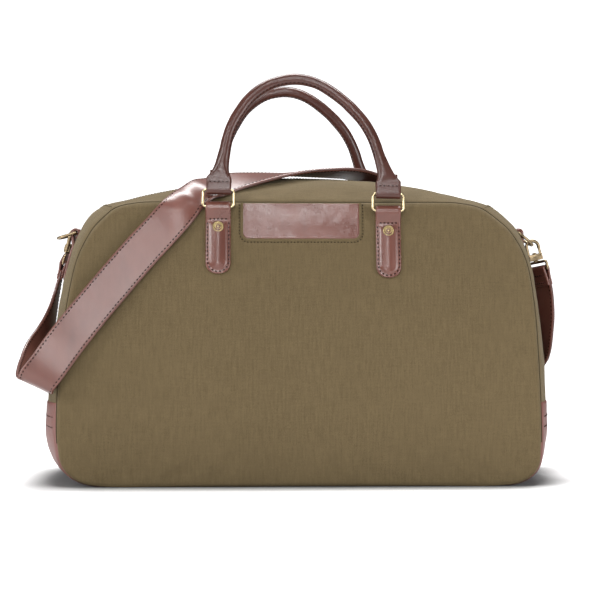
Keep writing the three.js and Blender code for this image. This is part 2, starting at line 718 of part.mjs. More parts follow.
// ---- Shoulder strap ----
// Its middle line from the left hook to the right hook: each point, the direction across the strap and
// how far the strap's middle is bent out where it folds over a seam.
const STRAP_ROUTE = [
  [-256.5, 23, 212.6, 0, 0.98, 0.2], [-257, 21, 194, 0.03, 0.99, 0.1], [-260, 12, 170, 0.12, 0.99, 0],
  [-265, -7, 147, 0.3, 0.95, -0.05], [-269.5, -32, 130, 0.45, 0.88, -0.15],
  [-270, -60, 117, 0.55, 0.77, -0.25], [-269.5, -85, 109, 0.62, 0.7, -0.35],
  [-267, -104, 104, 0.8, 0.4, -0.42], [-262.5, -118, 103, 0.906, 0, -0.423],
  [-260, -125, 108, 0.88, 0, -0.46], [-250, -126, 121, 0.82, 0, -0.57], [-236, -122.5, 141, 0.78, 0, -0.63],
  [-221, -117, 161, 0.76, -0.05, -0.64], [-204, -112, 182.5, 0.76, -0.1, -0.64],
  [-187.5, -107.5, 202.5, 0.76, -0.1, -0.64], [-172, -103.5, 221, 0.76, -0.12, -0.64],
  [-156, -100, 239.5, 0.76, -0.13, -0.64], [-140, -96, 257, 0.75, -0.16, -0.64],
  [-125.5, -92.3, 273.5, 0.75, -0.2, -0.62, 2], [-115.5, -81, 285.5, 0.74, -0.4, -0.53, 6],
  [-108.5, -76, 291.5, 0.62, -0.53, -0.52, 5], [-98, -71.5, 299.5, 0.53, -0.6, -0.5, 3],
  [-86, -61.5, 303, 0.45, -0.72, -0.5, 1], [-66, -50.5, 309.5, 0.38, -0.8, -0.46],
  [-40, -40, 314.5, 0.45, -0.85, -0.25], [-17, -30, 318, 0.49, -0.86, -0.07],
  [4, -19, 320.3, 0.49, -0.87, 0.05], [23, -8, 321.5, 0.5, -0.86, 0.12], [47, 7, 322.5, 0.52, -0.84, 0.18],
  [65, 20, 321.5, 0.55, -0.82, 0.16], [80, 37, 317, 0.6, -0.77, 0.2], [90, 55, 308, 0.58, -0.72, 0.35],
  [98, 71.7, 300, 0.53, -0.6, 0.5, 3], [108.5, 76, 291.5, 0.62, -0.53, 0.52, 5],
  [115.5, 81, 285.5, 0.74, -0.4, 0.53, 6], [125.5, 92.5, 273.5, 0.75, -0.2, 0.62, 2],
  [140, 96, 257, 0.75, -0.16, 0.64], [156, 100, 239.5, 0.76, -0.13, 0.64],
  [172, 103.5, 221, 0.76, -0.12, 0.64], [187.5, 107.5, 202.5, 0.76, -0.1, 0.64],
  [204, 112, 182.5, 0.76, -0.1, 0.64], [221, 117, 161, 0.76, -0.05, 0.64], [236, 122.5, 141, 0.78, 0, 0.63],
  [249, 126, 121, 0.82, 0, 0.57], [258, 125, 108, 0.88, 0, 0.46], [260.5, 118, 103, 0.906, 0, 0.423],
  [265.5, 104, 104, 0.8, 0.4, 0.42], [268, 85, 109, 0.62, 0.7, 0.35], [269, 60, 116.5, 0.44, 0.84, 0.25],
  [267.5, 34, 129, 0.1, 0.97, 0.15], [265.7, 14, 147, -0.25, 0.95, 0.05], [264.5, 3, 172, -0.4, 0.92, 0],
  [263.8, 0, 190, -0.38, 0.92, -0.04], [264.3, 0, 201, -0.36, 0.93, -0.04],
];
const STRAP_STEPS = 84;

function shoulderStrap() {
  const through = (points) => new THREE.CatmullRomCurve3(points, false, 'catmullrom');
  const middle = through(STRAP_ROUTE.map(([x, y, z]) => vector(x, y, z)));
  const across = through(STRAP_ROUTE.map(([, , , x, y, z]) => vector(x, y, z)));
  const bends = through(STRAP_ROUTE.map((row) => vector(row[6] ?? 0, 0, 0)));
  const columns = spread(-1, 1, 4);
  const rings = spread(0, 1, STRAP_STEPS).map((t) => {
    const point = middle.getPoint(t);
    const along = middle.getTangent(t);
    const wide = across.getPoint(t);
    wide.addScaledVector(along, -wide.dot(along)).setLength(STRAP_WIDTH / 2);
    const out = vector().crossVectors(wide, along).normalize();
    const bend = bends.getPoint(t).x;
    const face = (lift) =>
      columns.map((w) => {
        const rise = lift + bend * (1 - w * w);
        return point.clone().addScaledVector(wide, w).addScaledVector(out, rise);
      });
    return [...face(STRAP_THICK / 2), ...face(-STRAP_THICK / 2).toReversed()];
  });
  return loft(rings);
}

// ---- Assembly ----
HANDLES.forEach(addHandle);
place(bag, 'base_panel', basePanel(), canvas);
place(bag, 'base_board', closed(baseBoard()), board);
place(bag, 'lining', lining(), cloth);
place(bag, 'front_label_patch', label(), leather);
for (const { name, side } of ENDS) {
  place(bag, `${name}_gusset`, sideGusset(side), canvas);
  place(bag, `${name}_corner_patch`, cornerPatch(side), leather);
}
for (const { name, face } of HANDLES) {
  place(bag, `top_gusset_${name}`, topGusset(face), canvas);
  place(bag, `zip_tape_${name}`, zipTape(face), cloth);
}
place(bag, 'zip_chain', zipChain(), antiqueBrass);
addZipSlider();
ENDS.forEach(addStrapFitting);
place(bag, 'shoulder_strap', shoulderStrap(), leather);

export default bag;
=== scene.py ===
import math

import bmesh
import bpy
import numpy as np
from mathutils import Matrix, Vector, noise


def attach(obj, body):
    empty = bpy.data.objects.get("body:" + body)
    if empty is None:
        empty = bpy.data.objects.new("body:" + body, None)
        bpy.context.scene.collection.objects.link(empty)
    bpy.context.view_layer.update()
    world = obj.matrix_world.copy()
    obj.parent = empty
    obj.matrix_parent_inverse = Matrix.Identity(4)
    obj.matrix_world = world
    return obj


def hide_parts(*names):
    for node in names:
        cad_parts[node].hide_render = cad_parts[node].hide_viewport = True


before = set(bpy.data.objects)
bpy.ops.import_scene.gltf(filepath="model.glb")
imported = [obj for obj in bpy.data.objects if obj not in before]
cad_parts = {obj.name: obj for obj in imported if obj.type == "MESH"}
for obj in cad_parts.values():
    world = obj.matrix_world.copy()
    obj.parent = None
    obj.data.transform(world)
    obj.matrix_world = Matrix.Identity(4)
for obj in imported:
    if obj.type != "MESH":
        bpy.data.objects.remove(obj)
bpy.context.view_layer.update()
MM = 0.001

# ---------------------------------------------------------------- camera and lights, in mm and metres
VIEW_SHIFT = 60  # how far the camera stands to the bag's left, in mm
VIEW_DISTANCE = 1800
VIEW_HEIGHT = 187
FRONT = -112
SENSOR, IMAGE_WIDTH = 36, 600


def add_camera():
    data = bpy.data.cameras.new("camera")
    camera = bpy.data.objects.new("camera", data)
    bpy.context.scene.collection.objects.link(camera)
    camera.location = (-VIEW_SHIFT * MM, (FRONT - VIEW_DISTANCE) * MM, VIEW_HEIGHT * MM)
    camera.rotation_euler = (math.pi / 2, 0, -math.atan2(VIEW_SHIFT, VIEW_DISTANCE))
    data.sensor_width = SENSOR
    data.lens = SENSOR * math.hypot(VIEW_SHIFT, VIEW_DISTANCE) / IMAGE_WIDTH
    data.clip_end = 50
    bpy.context.scene.camera = camera


def add_light(name, place, target, size, power):
    data = bpy.data.lights.new(name, "AREA")
    data.shape = "RECTANGLE"
    data.size, data.size_y = size
    data.energy = power
    light = bpy.data.objects.new(name, data)
    light.location = place
    light.rotation_euler = (Vector(target) - Vector(place)).to_track_quat("-Z", "Y").to_euler()
    bpy.context.scene.collection.objects.link(light)


add_camera()


# ---------------------------------------------------------------- curves and meshes
def spline(points, t):
    """Values of a smooth curve through points, with t running from 0 to 1 in equal steps per point."""
    p = np.asarray(points, float)
    p = np.vstack([2 * p[0] - p[1], p, 2 * p[-1] - p[-2]])
    x = np.clip(np.asarray(t, float), 0, 1) * (len(p) - 3)
    i = np.minimum(x.astype(int), len(p) - 4)
    f = (x - i)[..., None]
    a, b, c, d = p[i], p[i + 1], p[i + 2], p[i + 3]
    t0, t1 = (c - a) / 2, (d - b) / 2
    return b + t0 * f + (-3 * b + 3 * c - 2 * t0 - t1) * f**2 + (2 * b - 2 * c + t0 + t1) * f**3


def unit(v):
    v = np.asarray(v, float)
    return v / np.maximum(np.linalg.norm(v, axis=-1, keepdims=True), 1e-9)


def tangents(points, closed=False):
    if closed:
        return unit(np.roll(points, -1, axis=0) - np.roll(points, 1, axis=0))
    return unit(np.gradient(points, axis=0))


def resample(points, step=None, count=None):
    points = np.asarray(points, float)
    gaps = np.linalg.norm(np.diff(points, axis=0), axis=1)
    at = np.concatenate([[0], np.cumsum(gaps)])
    if count is None:
        count = max(2, int(round(at[-1] / step)) + 1)
    marks = np.linspace(0, at[-1], count)
    return np.stack([np.interp(marks, at, points[:, k]) for k in range(points.shape[1])], axis=1)


def add_piece(name, vertices, faces, material, body, replaces=(), loop_uv=None, inside=None):
    """A smooth-shaded piece from vertices in millimetres. inside is a point behind an open sheet."""
    mesh = bpy.data.meshes.new(name)
    mesh.from_pydata((np.asarray(vertices) * MM).tolist(), [], [list(map(int, f)) for f in faces])
    if loop_uv is not None:
        layer = mesh.uv_layers.new(name="UVMap")
        layer.data.foreach_set("uv", np.asarray(loop_uv, float).ravel())
    mesh.polygons.foreach_set("use_smooth", [True] * len(mesh.polygons))
    mesh.update()
    middle = np.mean(vertices, axis=0) if inside is None else np.array(inside, float)
    outward = 0.0
    for polygon in mesh.polygons:
        outward += (polygon.center / MM - Vector(middle)).dot(polygon.normal) * polygon.area
    if outward < 0:
        mesh.flip_normals()
    piece = bpy.data.objects.new(name, mesh)
    bpy.context.scene.collection.objects.link(piece)
    mesh.materials.append(MATERIALS[material])
    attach(piece, body)
    if replaces:
        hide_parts(*replaces)
    return piece


def grid_faces(rows, columns, closed_columns=False, closed_rows=False):
    """Quads of a grid and the grid corner that each loop stands at."""
    faces, corners = [], []
    for i in range(rows if closed_rows else rows - 1):
        for j in range(columns if closed_columns else columns - 1):
            a, b = (i + 1) % rows, (j + 1) % columns
            faces.append((i * columns + j, i * columns + b, a * columns + b, a * columns + j))
            corners.append(((i, j), (i, j + 1), (i + 1, j + 1), (i + 1, j)))
    return faces, corners


def metric(points, closed):
    """Length along a grid's two ways, in metres, averaged over the other way."""
    p = np.asarray(points)
    out = []
    for axis in (0, 1):
        q = np.concatenate([p, np.take(p, [0], axis)], axis) if closed[axis] else p
        gaps = np.linalg.norm(np.diff(q, axis=axis), axis=2).mean(axis=1 - axis)
        out.append(np.concatenate([[0], np.cumsum(gaps)]) * MM)
    return out


def add_grid(name, points, material, body, replaces=(), closed=(False, False), caps=False, inside=None):
    """A piece from a rows x columns x 3 array, with its UVs in metres."""
    p = np.asarray(points, float)
    rows, columns = p.shape[:2]
    faces, corners = grid_faces(rows, columns, closed[1], closed[0])
    v_at, u_at = metric(p, closed)
    uv = [(u_at[j], v_at[i]) for face in corners for i, j in face]
    if caps:
        for first in (0, (rows - 1) * columns):
            ring = list(range(first, first + columns))
            faces.append(ring if first else ring[::-1])
            uv += [(0, 0)] * columns
    return add_piece(name, p.reshape(-1, 3), faces, material, body, replaces, uv, inside)


def ribbon_section(half, thick, crown=None, interior=10):
    """Cross-section of a strap with rounded edges: offsets across it and out of it."""
    r = thick / 2
    bend = np.linspace(0, math.pi / 2, 5)
    edge = half - r + r * np.sin(bend)
    inner = np.linspace(-(half - r), half - r, interior + 1)[1:-1]
    across = np.concatenate([-edge[::-1], inner, edge])
    gap = np.clip(half - np.abs(across), 0, r)
    height = np.sqrt(np.maximum(r * r - (r - gap) ** 2, 0))
    top = height + (crown(across) if crown is not None else 0)
    return (
        np.concatenate([across, across[-2:0:-1]]),
        np.concatenate([top, -height[-2:0:-1]]),
    )


def add_ribbon(name, path, wide, half, thick, material, body, replaces=(), crown=None, bend=None,
               round_ends=True, interior=10):
    """A flat strip along a path. half may be a list; bend lifts its middle; crown(s, x) adds padding."""
    path = np.asarray(path, float)
    along = tangents(path)
    wide = np.asarray(wide, float)
    wide = unit(wide - along * np.sum(wide * along, axis=1, keepdims=True))
    out = unit(np.cross(wide, along))
    half = np.broadcast_to(half, len(path)).astype(float)
    bend = np.zeros(len(path)) if bend is None else bend
    far = np.concatenate([[0], np.cumsum(np.linalg.norm(np.diff(path, axis=0), axis=1))])
    rows = []
    for i, centre in enumerate(path):
        pad = None if crown is None else (lambda x, s=far[i]: crown(s, x))
        across, rise = ribbon_section(max(half[i], thick * 0.55), thick, pad, interior)
        across = across * half[i] / max(half[i], thick * 0.55)
        rise = rise + bend[i] * (1 - (across / max(half[i], 1e-6)) ** 2)
        rows.append(centre + np.outer(across, wide[i]) + np.outer(rise, out[i]))
    if round_ends:
        rows = rounded_ends(rows, along, thick / 2)
    return add_grid(name, rows, material, body, replaces, closed=(False, True), caps=True)


def rounded_ends(rows, along, r):
    """Extra rows that close a strip's two ends with a rounded edge."""
    for at, sign in ((0, -1), (-1, 1)):
        row = rows[at]
        mid = (row + np.roll(row[::-1], 1, axis=0)) / 2
        extra = []
        for angle in (25, 50, 70, 86):
            a = math.radians(angle)
            push = along[at] * sign * r * math.sin(a)
            extra.append(mid + (row - mid) * math.cos(a) + push)
        rows = rows + extra if at else extra[::-1] + rows
    return rows


def add_tube(name, path, radius, material, body, replaces=(), closed=False, sides=16, side=None,
             flat=None):
    """A round or flattened tube. radius is across `side`; flat is its other half thickness."""
    path = np.asarray(path, float)
    along = tangents(path, closed)
    if side is None:
        normal = np.array([0.0, 0.0, 1.0]) if abs(along[0][2]) < 0.9 else np.array([1.0, 0, 0])
        frames = []
        for t in along:
            normal = unit(normal - t * np.dot(normal, t))
            frames.append(normal)
        side = np.array(frames)
    side = np.broadcast_to(np.asarray(side, float), path.shape)
    side = unit(side - along * np.sum(side * along, axis=1, keepdims=True))
    out = np.cross(along, side)
    a = np.broadcast_to(radius, len(path)).astype(float)
    b = a if flat is None else np.broadcast_to(flat, len(path)).astype(float)
    angle = np.linspace(0, 2 * math.pi, sides, endpoint=False)
    rows = (
        path[:, None]
        + side[:, None] * (a[:, None] * np.cos(angle))[..., None]
        + out[:, None] * (b[:, None] * np.sin(angle))[..., None]
    )
    if not closed:
        first = [path[0] + (rows[0] - path[0]) * math.cos(t) - along[0] * b[0] * math.sin(t)
                 for t in (1.45, 1.1, 0.7, 0.35)]
        last = [path[-1] + (rows[-1] - path[-1]) * math.cos(t) + along[-1] * b[-1] * math.sin(t)
                for t in (0.35, 0.7, 1.1, 1.45)]
        rows = np.concatenate([first, rows, last])
    return add_grid(name, rows, material, body, replaces, closed=(closed, True), caps=not closed)


def add_stitches(name, runs, body, thread="thread", pitch=4.2, length=2.5, width=1.6, height=0.45):
    """Rows of thread: each run is a path and the surface's outward direction at each of its points."""
    lat, lon = 5, 6
    theta = np.linspace(0, math.pi, lat)
    phi = np.linspace(0, 2 * math.pi, lon, endpoint=False)
    ball = np.array([
        (math.cos(t) * length / 2, math.sin(t) * math.cos(p) * width / 2,
         math.sin(t) * math.sin(p) * height)
        for t in theta for p in phi
    ])
    faces, _ = grid_faces(lat, lon, closed_columns=True)
    faces = np.array(faces)
    vertices, quads = [], []
    for path, normal in runs:
        path = np.asarray(path, float)
        normal = np.broadcast_to(np.asarray(normal, float), path.shape)
        both = resample(np.hstack([path, normal]), step=pitch)
        where, up = both[:, :3], both[:, 3:]
        middle = (where[1:] + where[:-1]) / 2
        along = unit(where[1:] - where[:-1])
        up = unit((up[1:] + up[:-1]) / 2)
        across = unit(np.cross(up, along))
        up = np.cross(along, across)
        for m, a, c, u in zip(middle, along, across, up):
            quads.append(faces + len(ball) * len(vertices))
            vertices.append(m + ball @ np.array([a, c, u]))
    return add_piece(name, np.concatenate(vertices), np.concatenate(quads), thread, body)


# ---------------------------------------------------------------- materials
MATERIALS = {}


class Nodes:
    """Short names for the shader nodes that the materials are built from."""

    def __init__(self, name, slot):
        self.material = bpy.data.materials.new(name)
        self.material.use_nodes = True
        self.tree = self.material.node_tree
        self.shader = self.tree.nodes["Principled BSDF"]
        MATERIALS[name] = self.material

    def new(self, kind, inputs=None, **settings):
        node = self.tree.nodes.new("ShaderNode" + kind)
        for key, value in settings.items():
            setattr(node, key, value)
        for key, value in (inputs or {}).items():
            self.link(value, node.inputs[key])
        return node

    def link(self, value, socket):
        if isinstance(value, bpy.types.NodeSocket):
            self.tree.links.new(value, socket)
        else:
            socket.default_value = value

    def coordinates(self, scale, kind="Object"):
        where = self.new("TexCoord").outputs[kind]
        return self.new("Mapping", {"Vector": where, "Scale": scale}).outputs["Vector"]

    def noise(self, scale, detail=4, rough=0.55, stretch=(1, 1, 1), kind="Object", distortion=0):
        where = self.coordinates(stretch, kind)
        node = self.new("TexNoise", {"Vector": where, "Scale": scale, "Detail": detail,
                                     "Roughness": rough, "Distortion": distortion})
        return node.outputs["Fac"]

    def ramp(self, value, stops):
        node = self.new("ValToRGB", {"Fac": value})
        elements = node.color_ramp.elements
        while len(elements) < len(stops):
            elements.new(0.5)
        for element, (at, colour) in zip(elements, stops):
            element.position = at
            element.color = (*colour, 1) if len(colour) == 3 else colour
        return node.outputs["Color"]

    def math(self, operation, a, b=0.0):
        return self.new("Math", {0: a, 1: b}, operation=operation).outputs[0]

    def spread(self, value, low, high, start=0.0, end=1.0):
        node = self.new("MapRange", {"Value": value, "From Min": start, "From Max": end,
                                     "To Min": low, "To Max": high})
        return node.outputs[0]

    def mix(self, amount, a, b, blend="MIX"):
        node = self.new("Mix", data_type="RGBA", blend_type=blend)
        self.link(amount, node.inputs[0])
        self.link(a, node.inputs[6])
        self.link(b, node.inputs[7])
        return node.outputs[2]

    def bump(self, height, distance, strength=1.0, below=None):
        inputs = {"Height": height, "Distance": distance, "Strength": strength}
        if below is not None:
            inputs["Normal"] = below
        return self.new("Bump", inputs).outputs[0]

    def finish(self, **values):
        for key, value in values.items():
            self.link(value, self.shader.inputs[key.replace("_", " ")])


def canvas_material(name, slot, dark, light, pitch=0.0008):
    """A plain weave whose threads cross along the piece's own U and V."""
    n = Nodes(name, slot)
    k = math.pi / pitch / 10
    waves = []
    for way in ("X", "Y"):
        node = n.new("TexWave", {"Vector": n.coordinates((1, 1, 1), "UV"), "Scale": k, "Distortion": 1.5,
                                 "Detail": 1.0, "Detail Scale": 1.5}, wave_type="BANDS", bands_direction=way)
        waves.append(node.outputs["Fac"])
    weave = n.math("MULTIPLY", waves[0], waves[1])
    slub_u = n.noise(520, 3, 0.65, (0.09, 1, 1), "UV")
    slub_v = n.noise(520, 3, 0.65, (1, 0.09, 1), "UV")
    fleck = n.noise(1500, 2, 0.5)
    cloudy = n.noise(7, 4, 0.5)
    slubs = n.math("ADD", n.math("MULTIPLY", slub_u, 0.14), n.math("MULTIPLY", slub_v, 0.36))
    tone = n.math("ADD", slubs, n.math("MULTIPLY", fleck, 0.5))
    tone = n.math("ADD", tone, n.math("MULTIPLY", n.math("SUBTRACT", cloudy, 0.5), 0.12))
    colour = n.ramp(tone, [(0.32, dark), (0.68, light)])
    shade = n.spread(weave, 0.84, 1.03)
    grey = n.new("CombineColor", {0: shade, 1: shade, 2: shade}).outputs[0]
    colour = n.mix(1.0, colour, grey, "MULTIPLY")
    height = n.math("ADD", weave, n.math("MULTIPLY", tone, 0.8))
    n.finish(Base_Color=colour, Roughness=0.92, Sheen_Weight=0.06, Sheen_Roughness=0.5,
             Specular_IOR_Level=0.2, Normal=n.bump(height, 0.00022, 0.6))
    n.shader.inputs["Sheen Tint"].default_value = (0.75, 0.7, 0.55, 1)


def leather_material(name, slot, dark, light, rough=0.36, coat=0.1, grain=1500, bump=0.00012,
                     specular=0.4):
    """Smooth finished leather: fine pebbles, soft pull-up variation and rubbed high spots."""
    n = Nodes(name, slot)
    cells = n.new("TexVoronoi", {"Vector": n.coordinates((1, 1, 1)), "Scale": grain, "Randomness": 0.9},
                  feature="SMOOTH_F1").outputs["Distance"]
    pores = n.noise(grain * 1.6, 3, 0.6)
    broad = n.noise(14, 5, 0.6, distortion=0.6)
    streak = n.noise(90, 4, 0.6, (1, 1, 0.25))
    tone = n.math("ADD", n.math("MULTIPLY", broad, 0.6), n.math("MULTIPLY", streak, 0.4))
    colour = n.ramp(tone, [(0.3, dark), (0.72, light)])
    worn = n.new("NewGeometry").outputs["Pointiness"]
    rub = n.spread(worn, 0.0, 0.3, 0.52, 0.6)
    colour = n.mix(rub, colour, (*[min(1, c * 1.8) for c in light], 1))
    height = n.math("ADD", cells, n.math("MULTIPLY", pores, 0.6))
    n.finish(Base_Color=colour, Roughness=n.spread(tone, rough - 0.06, rough + 0.1), Coat_Weight=coat,
             Coat_Roughness=0.3, Specular_IOR_Level=specular, Normal=n.bump(height, bump, 0.5))


def metal_material(name, slot, dark, light, rough=0.2, wear=0.5):
    n = Nodes(name, slot)
    patina = n.noise(220, 5, 0.62)
    fine = n.noise(2600, 2, 0.5)
    colour = n.ramp(patina, [(0.3, dark), (0.3 + wear, light)])
    edge = n.spread(n.new("NewGeometry").outputs["Pointiness"], 0, 0.6, 0.5, 0.6)
    colour = n.mix(edge, colour, (*[min(1, c * 1.25) for c in light], 1))
    n.finish(Base_Color=colour, Metallic=1.0, Roughness=n.spread(patina, rough, rough + 0.16),
             Normal=n.bump(fine, 0.00004, 0.25))


def plain_material(name, slot, dark, light, rough, scale=500, bump=0.0002, stretch=(1, 1, 1), **more):
    n = Nodes(name, slot)
    grain = n.noise(scale, 4, 0.6, stretch)
    n.finish(Base_Color=n.ramp(grain, [(0.3, dark), (0.7, light)]), Roughness=rough,
             Normal=n.bump(grain, bump, 0.5), **more)


canvas_material("canvas", "canvas", (0.060, 0.0425, 0.019), (0.108, 0.078, 0.0385))
canvas_material("lining_cloth", "lining_cloth", (0.05, 0.042, 0.028), (0.09, 0.075, 0.05), 0.0007)
leather_material("leather", "leather", (0.060, 0.019, 0.013), (0.100, 0.034, 0.024), rough=0.26)
leather_material("strap_leather", "leather", (0.066, 0.022, 0.016), (0.104, 0.037, 0.027),
                 rough=0.31, coat=0.0, specular=0.5)
leather_material("patch_leather", "leather", (0.078, 0.024, 0.018), (0.125, 0.042, 0.032),
                 rough=0.48, coat=0.0)
leather_material("handle_leather", "handle_leather", (0.028, 0.009, 0.006), (0.054, 0.017, 0.012),
                 rough=0.26, coat=0.0, specular=0.34)
leather_material("edge_paint", "leather", (0.020, 0.009, 0.008), (0.040, 0.018, 0.015), rough=0.45,
                 coat=0.1, bump=0.0002)
metal_material("brass", "brass", (0.36, 0.29, 0.16), (0.52, 0.43, 0.27), 0.22)
metal_material("hook_brass", "brass", (0.10, 0.07, 0.04), (0.30, 0.23, 0.14), 0.28)
metal_material("antique_brass", "antique_brass", (0.13, 0.095, 0.04), (0.32, 0.25, 0.13), 0.34)
plain_material("thread", "leather", (0.010, 0.004, 0.003), (0.024, 0.009, 0.007), 0.95, 3000,
               Specular_IOR_Level=0.15)
# Dark canvas colour of the seam tube: painted shade of the crease between panel and gusset.
plain_material("seam_shade", "canvas", (0.022, 0.016, 0.008), (0.040, 0.030, 0.015), 0.95, 3000,
               Specular_IOR_Level=0.15)
plain_material("canvas_thread", "canvas", (0.014, 0.010, 0.005), (0.030, 0.021, 0.010), 0.95, 3000,
               Specular_IOR_Level=0.15)
plain_material("zip_tape", "lining_cloth", (0.05, 0.042, 0.024), (0.085, 0.07, 0.04), 0.9, 1500,
               stretch=(1, 0.2, 1))
plain_material("board", "board", (0.03, 0.028, 0.026), (0.06, 0.055, 0.05), 0.8, 300)

# ---------------------------------------------------------------- the shoulder strap
# Its middle line in mm, the direction across it, and how far its middle is bent out over a seam.
# Each end starts inside the fold of a strap end.
STRAP_ROUTE = np.array([
    [-249.7, 21.9, 219.5, 0, 0.98, 0.2, 0], [-251.6, 22.8, 212, 0, 0.98, 0.2, 0],
    [-254, 22.6, 203, 0.01, 0.98, 0.15, 0], [-256.5, 21, 190, 0.03, 0.99, 0.1, 0],
    [-260, 12, 170, 0.12, 0.99, 0, 0], [-265, -7, 147, 0.3, 0.95, -0.05, 0],
    [-269.5, -32, 130, 0.45, 0.88, -0.15, 0], [-270, -60, 117, 0.55, 0.77, -0.25, 0],
    [-269.5, -85, 109, 0.62, 0.7, -0.35, 0], [-267, -104, 104, 0.8, 0.4, -0.42, 0],
    [-262.5, -118, 103, 0.906, 0, -0.423, 0], [-260, -125, 108, 0.88, 0, -0.46, 0],
    [-250, -126, 121, 0.82, 0, -0.57, 0], [-236, -122.5, 141, 0.78, 0, -0.63, 0],
    [-221, -117, 161, 0.76, -0.05, -0.64, 0], [-204, -112, 182.5, 0.76, -0.1, -0.64, 0],
    [-187.5, -107.5, 202.5, 0.76, -0.1, -0.64, 0], [-172, -103.5, 221, 0.76, -0.12, -0.64, 0],
    [-156, -100, 239.5, 0.76, -0.13, -0.64, 0], [-140, -96, 257, 0.75, -0.16, -0.64, 0],
    [-125.5, -92.3, 273.5, 0.75, -0.2, -0.62, 2], [-115.5, -81, 285.5, 0.74, -0.4, -0.53, 6],
    [-108.5, -76, 291.5, 0.62, -0.53, -0.52, 5], [-98, -71.5, 299.5, 0.53, -0.6, -0.5, 3],
    [-86, -61.5, 303, 0.45, -0.72, -0.5, 1], [-66, -50.5, 309.5, 0.38, -0.8, -0.46, 0],
    [-40, -40, 314.5, 0.45, -0.85, -0.25, 0], [-17, -30, 318, 0.49, -0.86, -0.07, 0],
    [4, -19, 320.3, 0.49, -0.87, 0.05, 0], [23, -8, 321.5, 0.5, -0.86, 0.12, 0],
    [47, 7, 322.5, 0.52, -0.84, 0.18, 0], [65, 20, 321.5, 0.55, -0.82, 0.16, 0],
    [80, 37, 317, 0.6, -0.77, 0.2, 0], [90, 55, 308, 0.58, -0.72, 0.35, 0],
    [98, 71.7, 300, 0.53, -0.6, 0.5, 3], [108.5, 76, 291.5, 0.62, -0.53, 0.52, 5],
    [115.5, 81, 285.5, 0.74, -0.4, 0.53, 6], [125.5, 92.5, 273.5, 0.75, -0.2, 0.62, 2],
    [140, 96, 257, 0.75, -0.16, 0.64, 0], [156, 100, 239.5, 0.76, -0.13, 0.64, 0],
    [172, 103.5, 221, 0.76, -0.12, 0.64, 0], [187.5, 107.5, 202.5, 0.76, -0.1, 0.64, 0],
    [204, 112, 182.5, 0.76, -0.1, 0.64, 0], [221, 117, 161, 0.76, -0.05, 0.64, 0],
    [236, 122.5, 141, 0.78, 0, 0.63, 0], [249, 126, 121, 0.82, 0, 0.57, 0],
    [258, 125, 108, 0.88, 0, 0.46, 0], [260.5, 118, 103, 0.906, 0, 0.423, 0],
    [265.5, 104, 104, 0.8, 0.4, 0.42, 0], [268, 85, 109, 0.62, 0.7, 0.35, 0],
    [269, 60, 116.5, 0.44, 0.84, 0.25, 0], [267.5, 34, 129, 0.1, 0.97, 0.15, 0],
    [265.7, 14, 147, -0.25, 0.95, 0.05, 0], [264.5, 3, 172, -0.4, 0.92, 0, 0],
    [263.8, 0, 188, -0.38, 0.92, -0.04, 0], [263, 0, 199, -0.34, 0.93, -0.06, 0],
    [261.2, 0, 206, -0.33, 0.94, -0.08, 0],
])
STRAP_HALF, STRAP_THICK = 19, 3.4


def add_strap():
    route = resample(spline(STRAP_ROUTE, np.linspace(0, 1, 1200)), count=420)
    path, wide, bend = route[:, :3], route[:, 3:6], route[:, 6]
    strap = add_ribbon("strap", path, wide, STRAP_HALF, STRAP_THICK, "strap_leather", "bag",
                       ["shoulder_strap"], bend=bend, interior=16)
    along = tangents(path)
    wide = unit(wide - along * np.sum(wide * along, axis=1, keepdims=True))
    out = unit(np.cross(wide, along))
    inset = STRAP_HALF - 2.7
    rise = bend * (1 - (inset / STRAP_HALF) ** 2)
    runs = []
    for side in (-1, 1):
        for face in (-1, 1):
            lift = (rise + face * STRAP_THICK / 2)[:, None]
            runs.append((path + side * inset * wide + lift * out, face * out))
    stitches = add_stitches("strap_stitches", runs, "bag")
    edges = []
    for side in (-1, 1):
        line = path + side * (STRAP_HALF - 0.35) * wide + (bend * 0.03)[:, None] * out
        edges.append(add_tube(f"strap_edge_{'rear' if side < 0 else 'front'}", line, 0.55, "edge_paint",
                              "bag", side=out, flat=0.55, sides=8))
        edges[-1].parent = strap


add_strap()

# ---------------------------------------------------------------- the shell's shape
PANEL_TOP = 286.5
BASE_DEPTH, TOP_TAPER, TAPER_POWER = 113, 31, 2.2
RIDGE_RADIUS, RIDGE_CENTRE = 700, -384.5
GUSSET_POWER = 3
ROLL = 5  # radius that a panel's edge turns back with
INSIDE = (0, 0, 140)  # a point inside the bag


def ridge(x):
    return RIDGE_CENTRE + math.sqrt(RIDGE_RADIUS**2 - x**2)


# Left half width, right half width and height, from the base to the middle of the top.
PANEL_POINTS = np.array([
    [150, 150, 0], [188, 196, 0], [218, 224, 4], [236, 240, 18], [242, 243, 40], [243, 243, 75],
    [240, 241, 130], [234, 238, 180], [225, 231, 225], [212, 217, 254], [199, 201, 270],
    [185, 185, 281], [165, 165, 285.5], [146, 146, PANEL_TOP], [100, 100, PANEL_TOP],
    [50, 50, PANEL_TOP], [0, 0, PANEL_TOP],
])
RIDGE_POINTS = np.array([
    [150, 150, 0], [188, 196, 0], [218, 226, 5], [246, 248, 18], [259, 257, 42],
    [259.5, 258.5, 75], [255, 256.5, 130], [247.5, 251.5, 180], [238, 243.5, 227],
    [227, 229.5, 259], [216, 215, 276], *[[x, x, ridge(x)] for x in (200, 174, 150, 100, 50, 0)],
])
LAST = len(PANEL_POINTS) - 1
PATCH_END = 5.15
SHOULDER = 11


def smooth(value, low, high):
    t = np.clip((np.asarray(value, float) - low) / (high - low), 0, 1)
    return t * t * (3 - 2 * t)


def half_outline(points, side, station):
    """Points of one half of an outline as x, which is positive on both sides, and z."""
    at = spline(points, np.asarray(station, float) / LAST)
    return at[..., [0 if side < 0 else 1, 2]]


def half_depth(z):
    return BASE_DEPTH - TOP_TAPER * (np.maximum(z, 0) / PANEL_TOP) ** TAPER_POWER


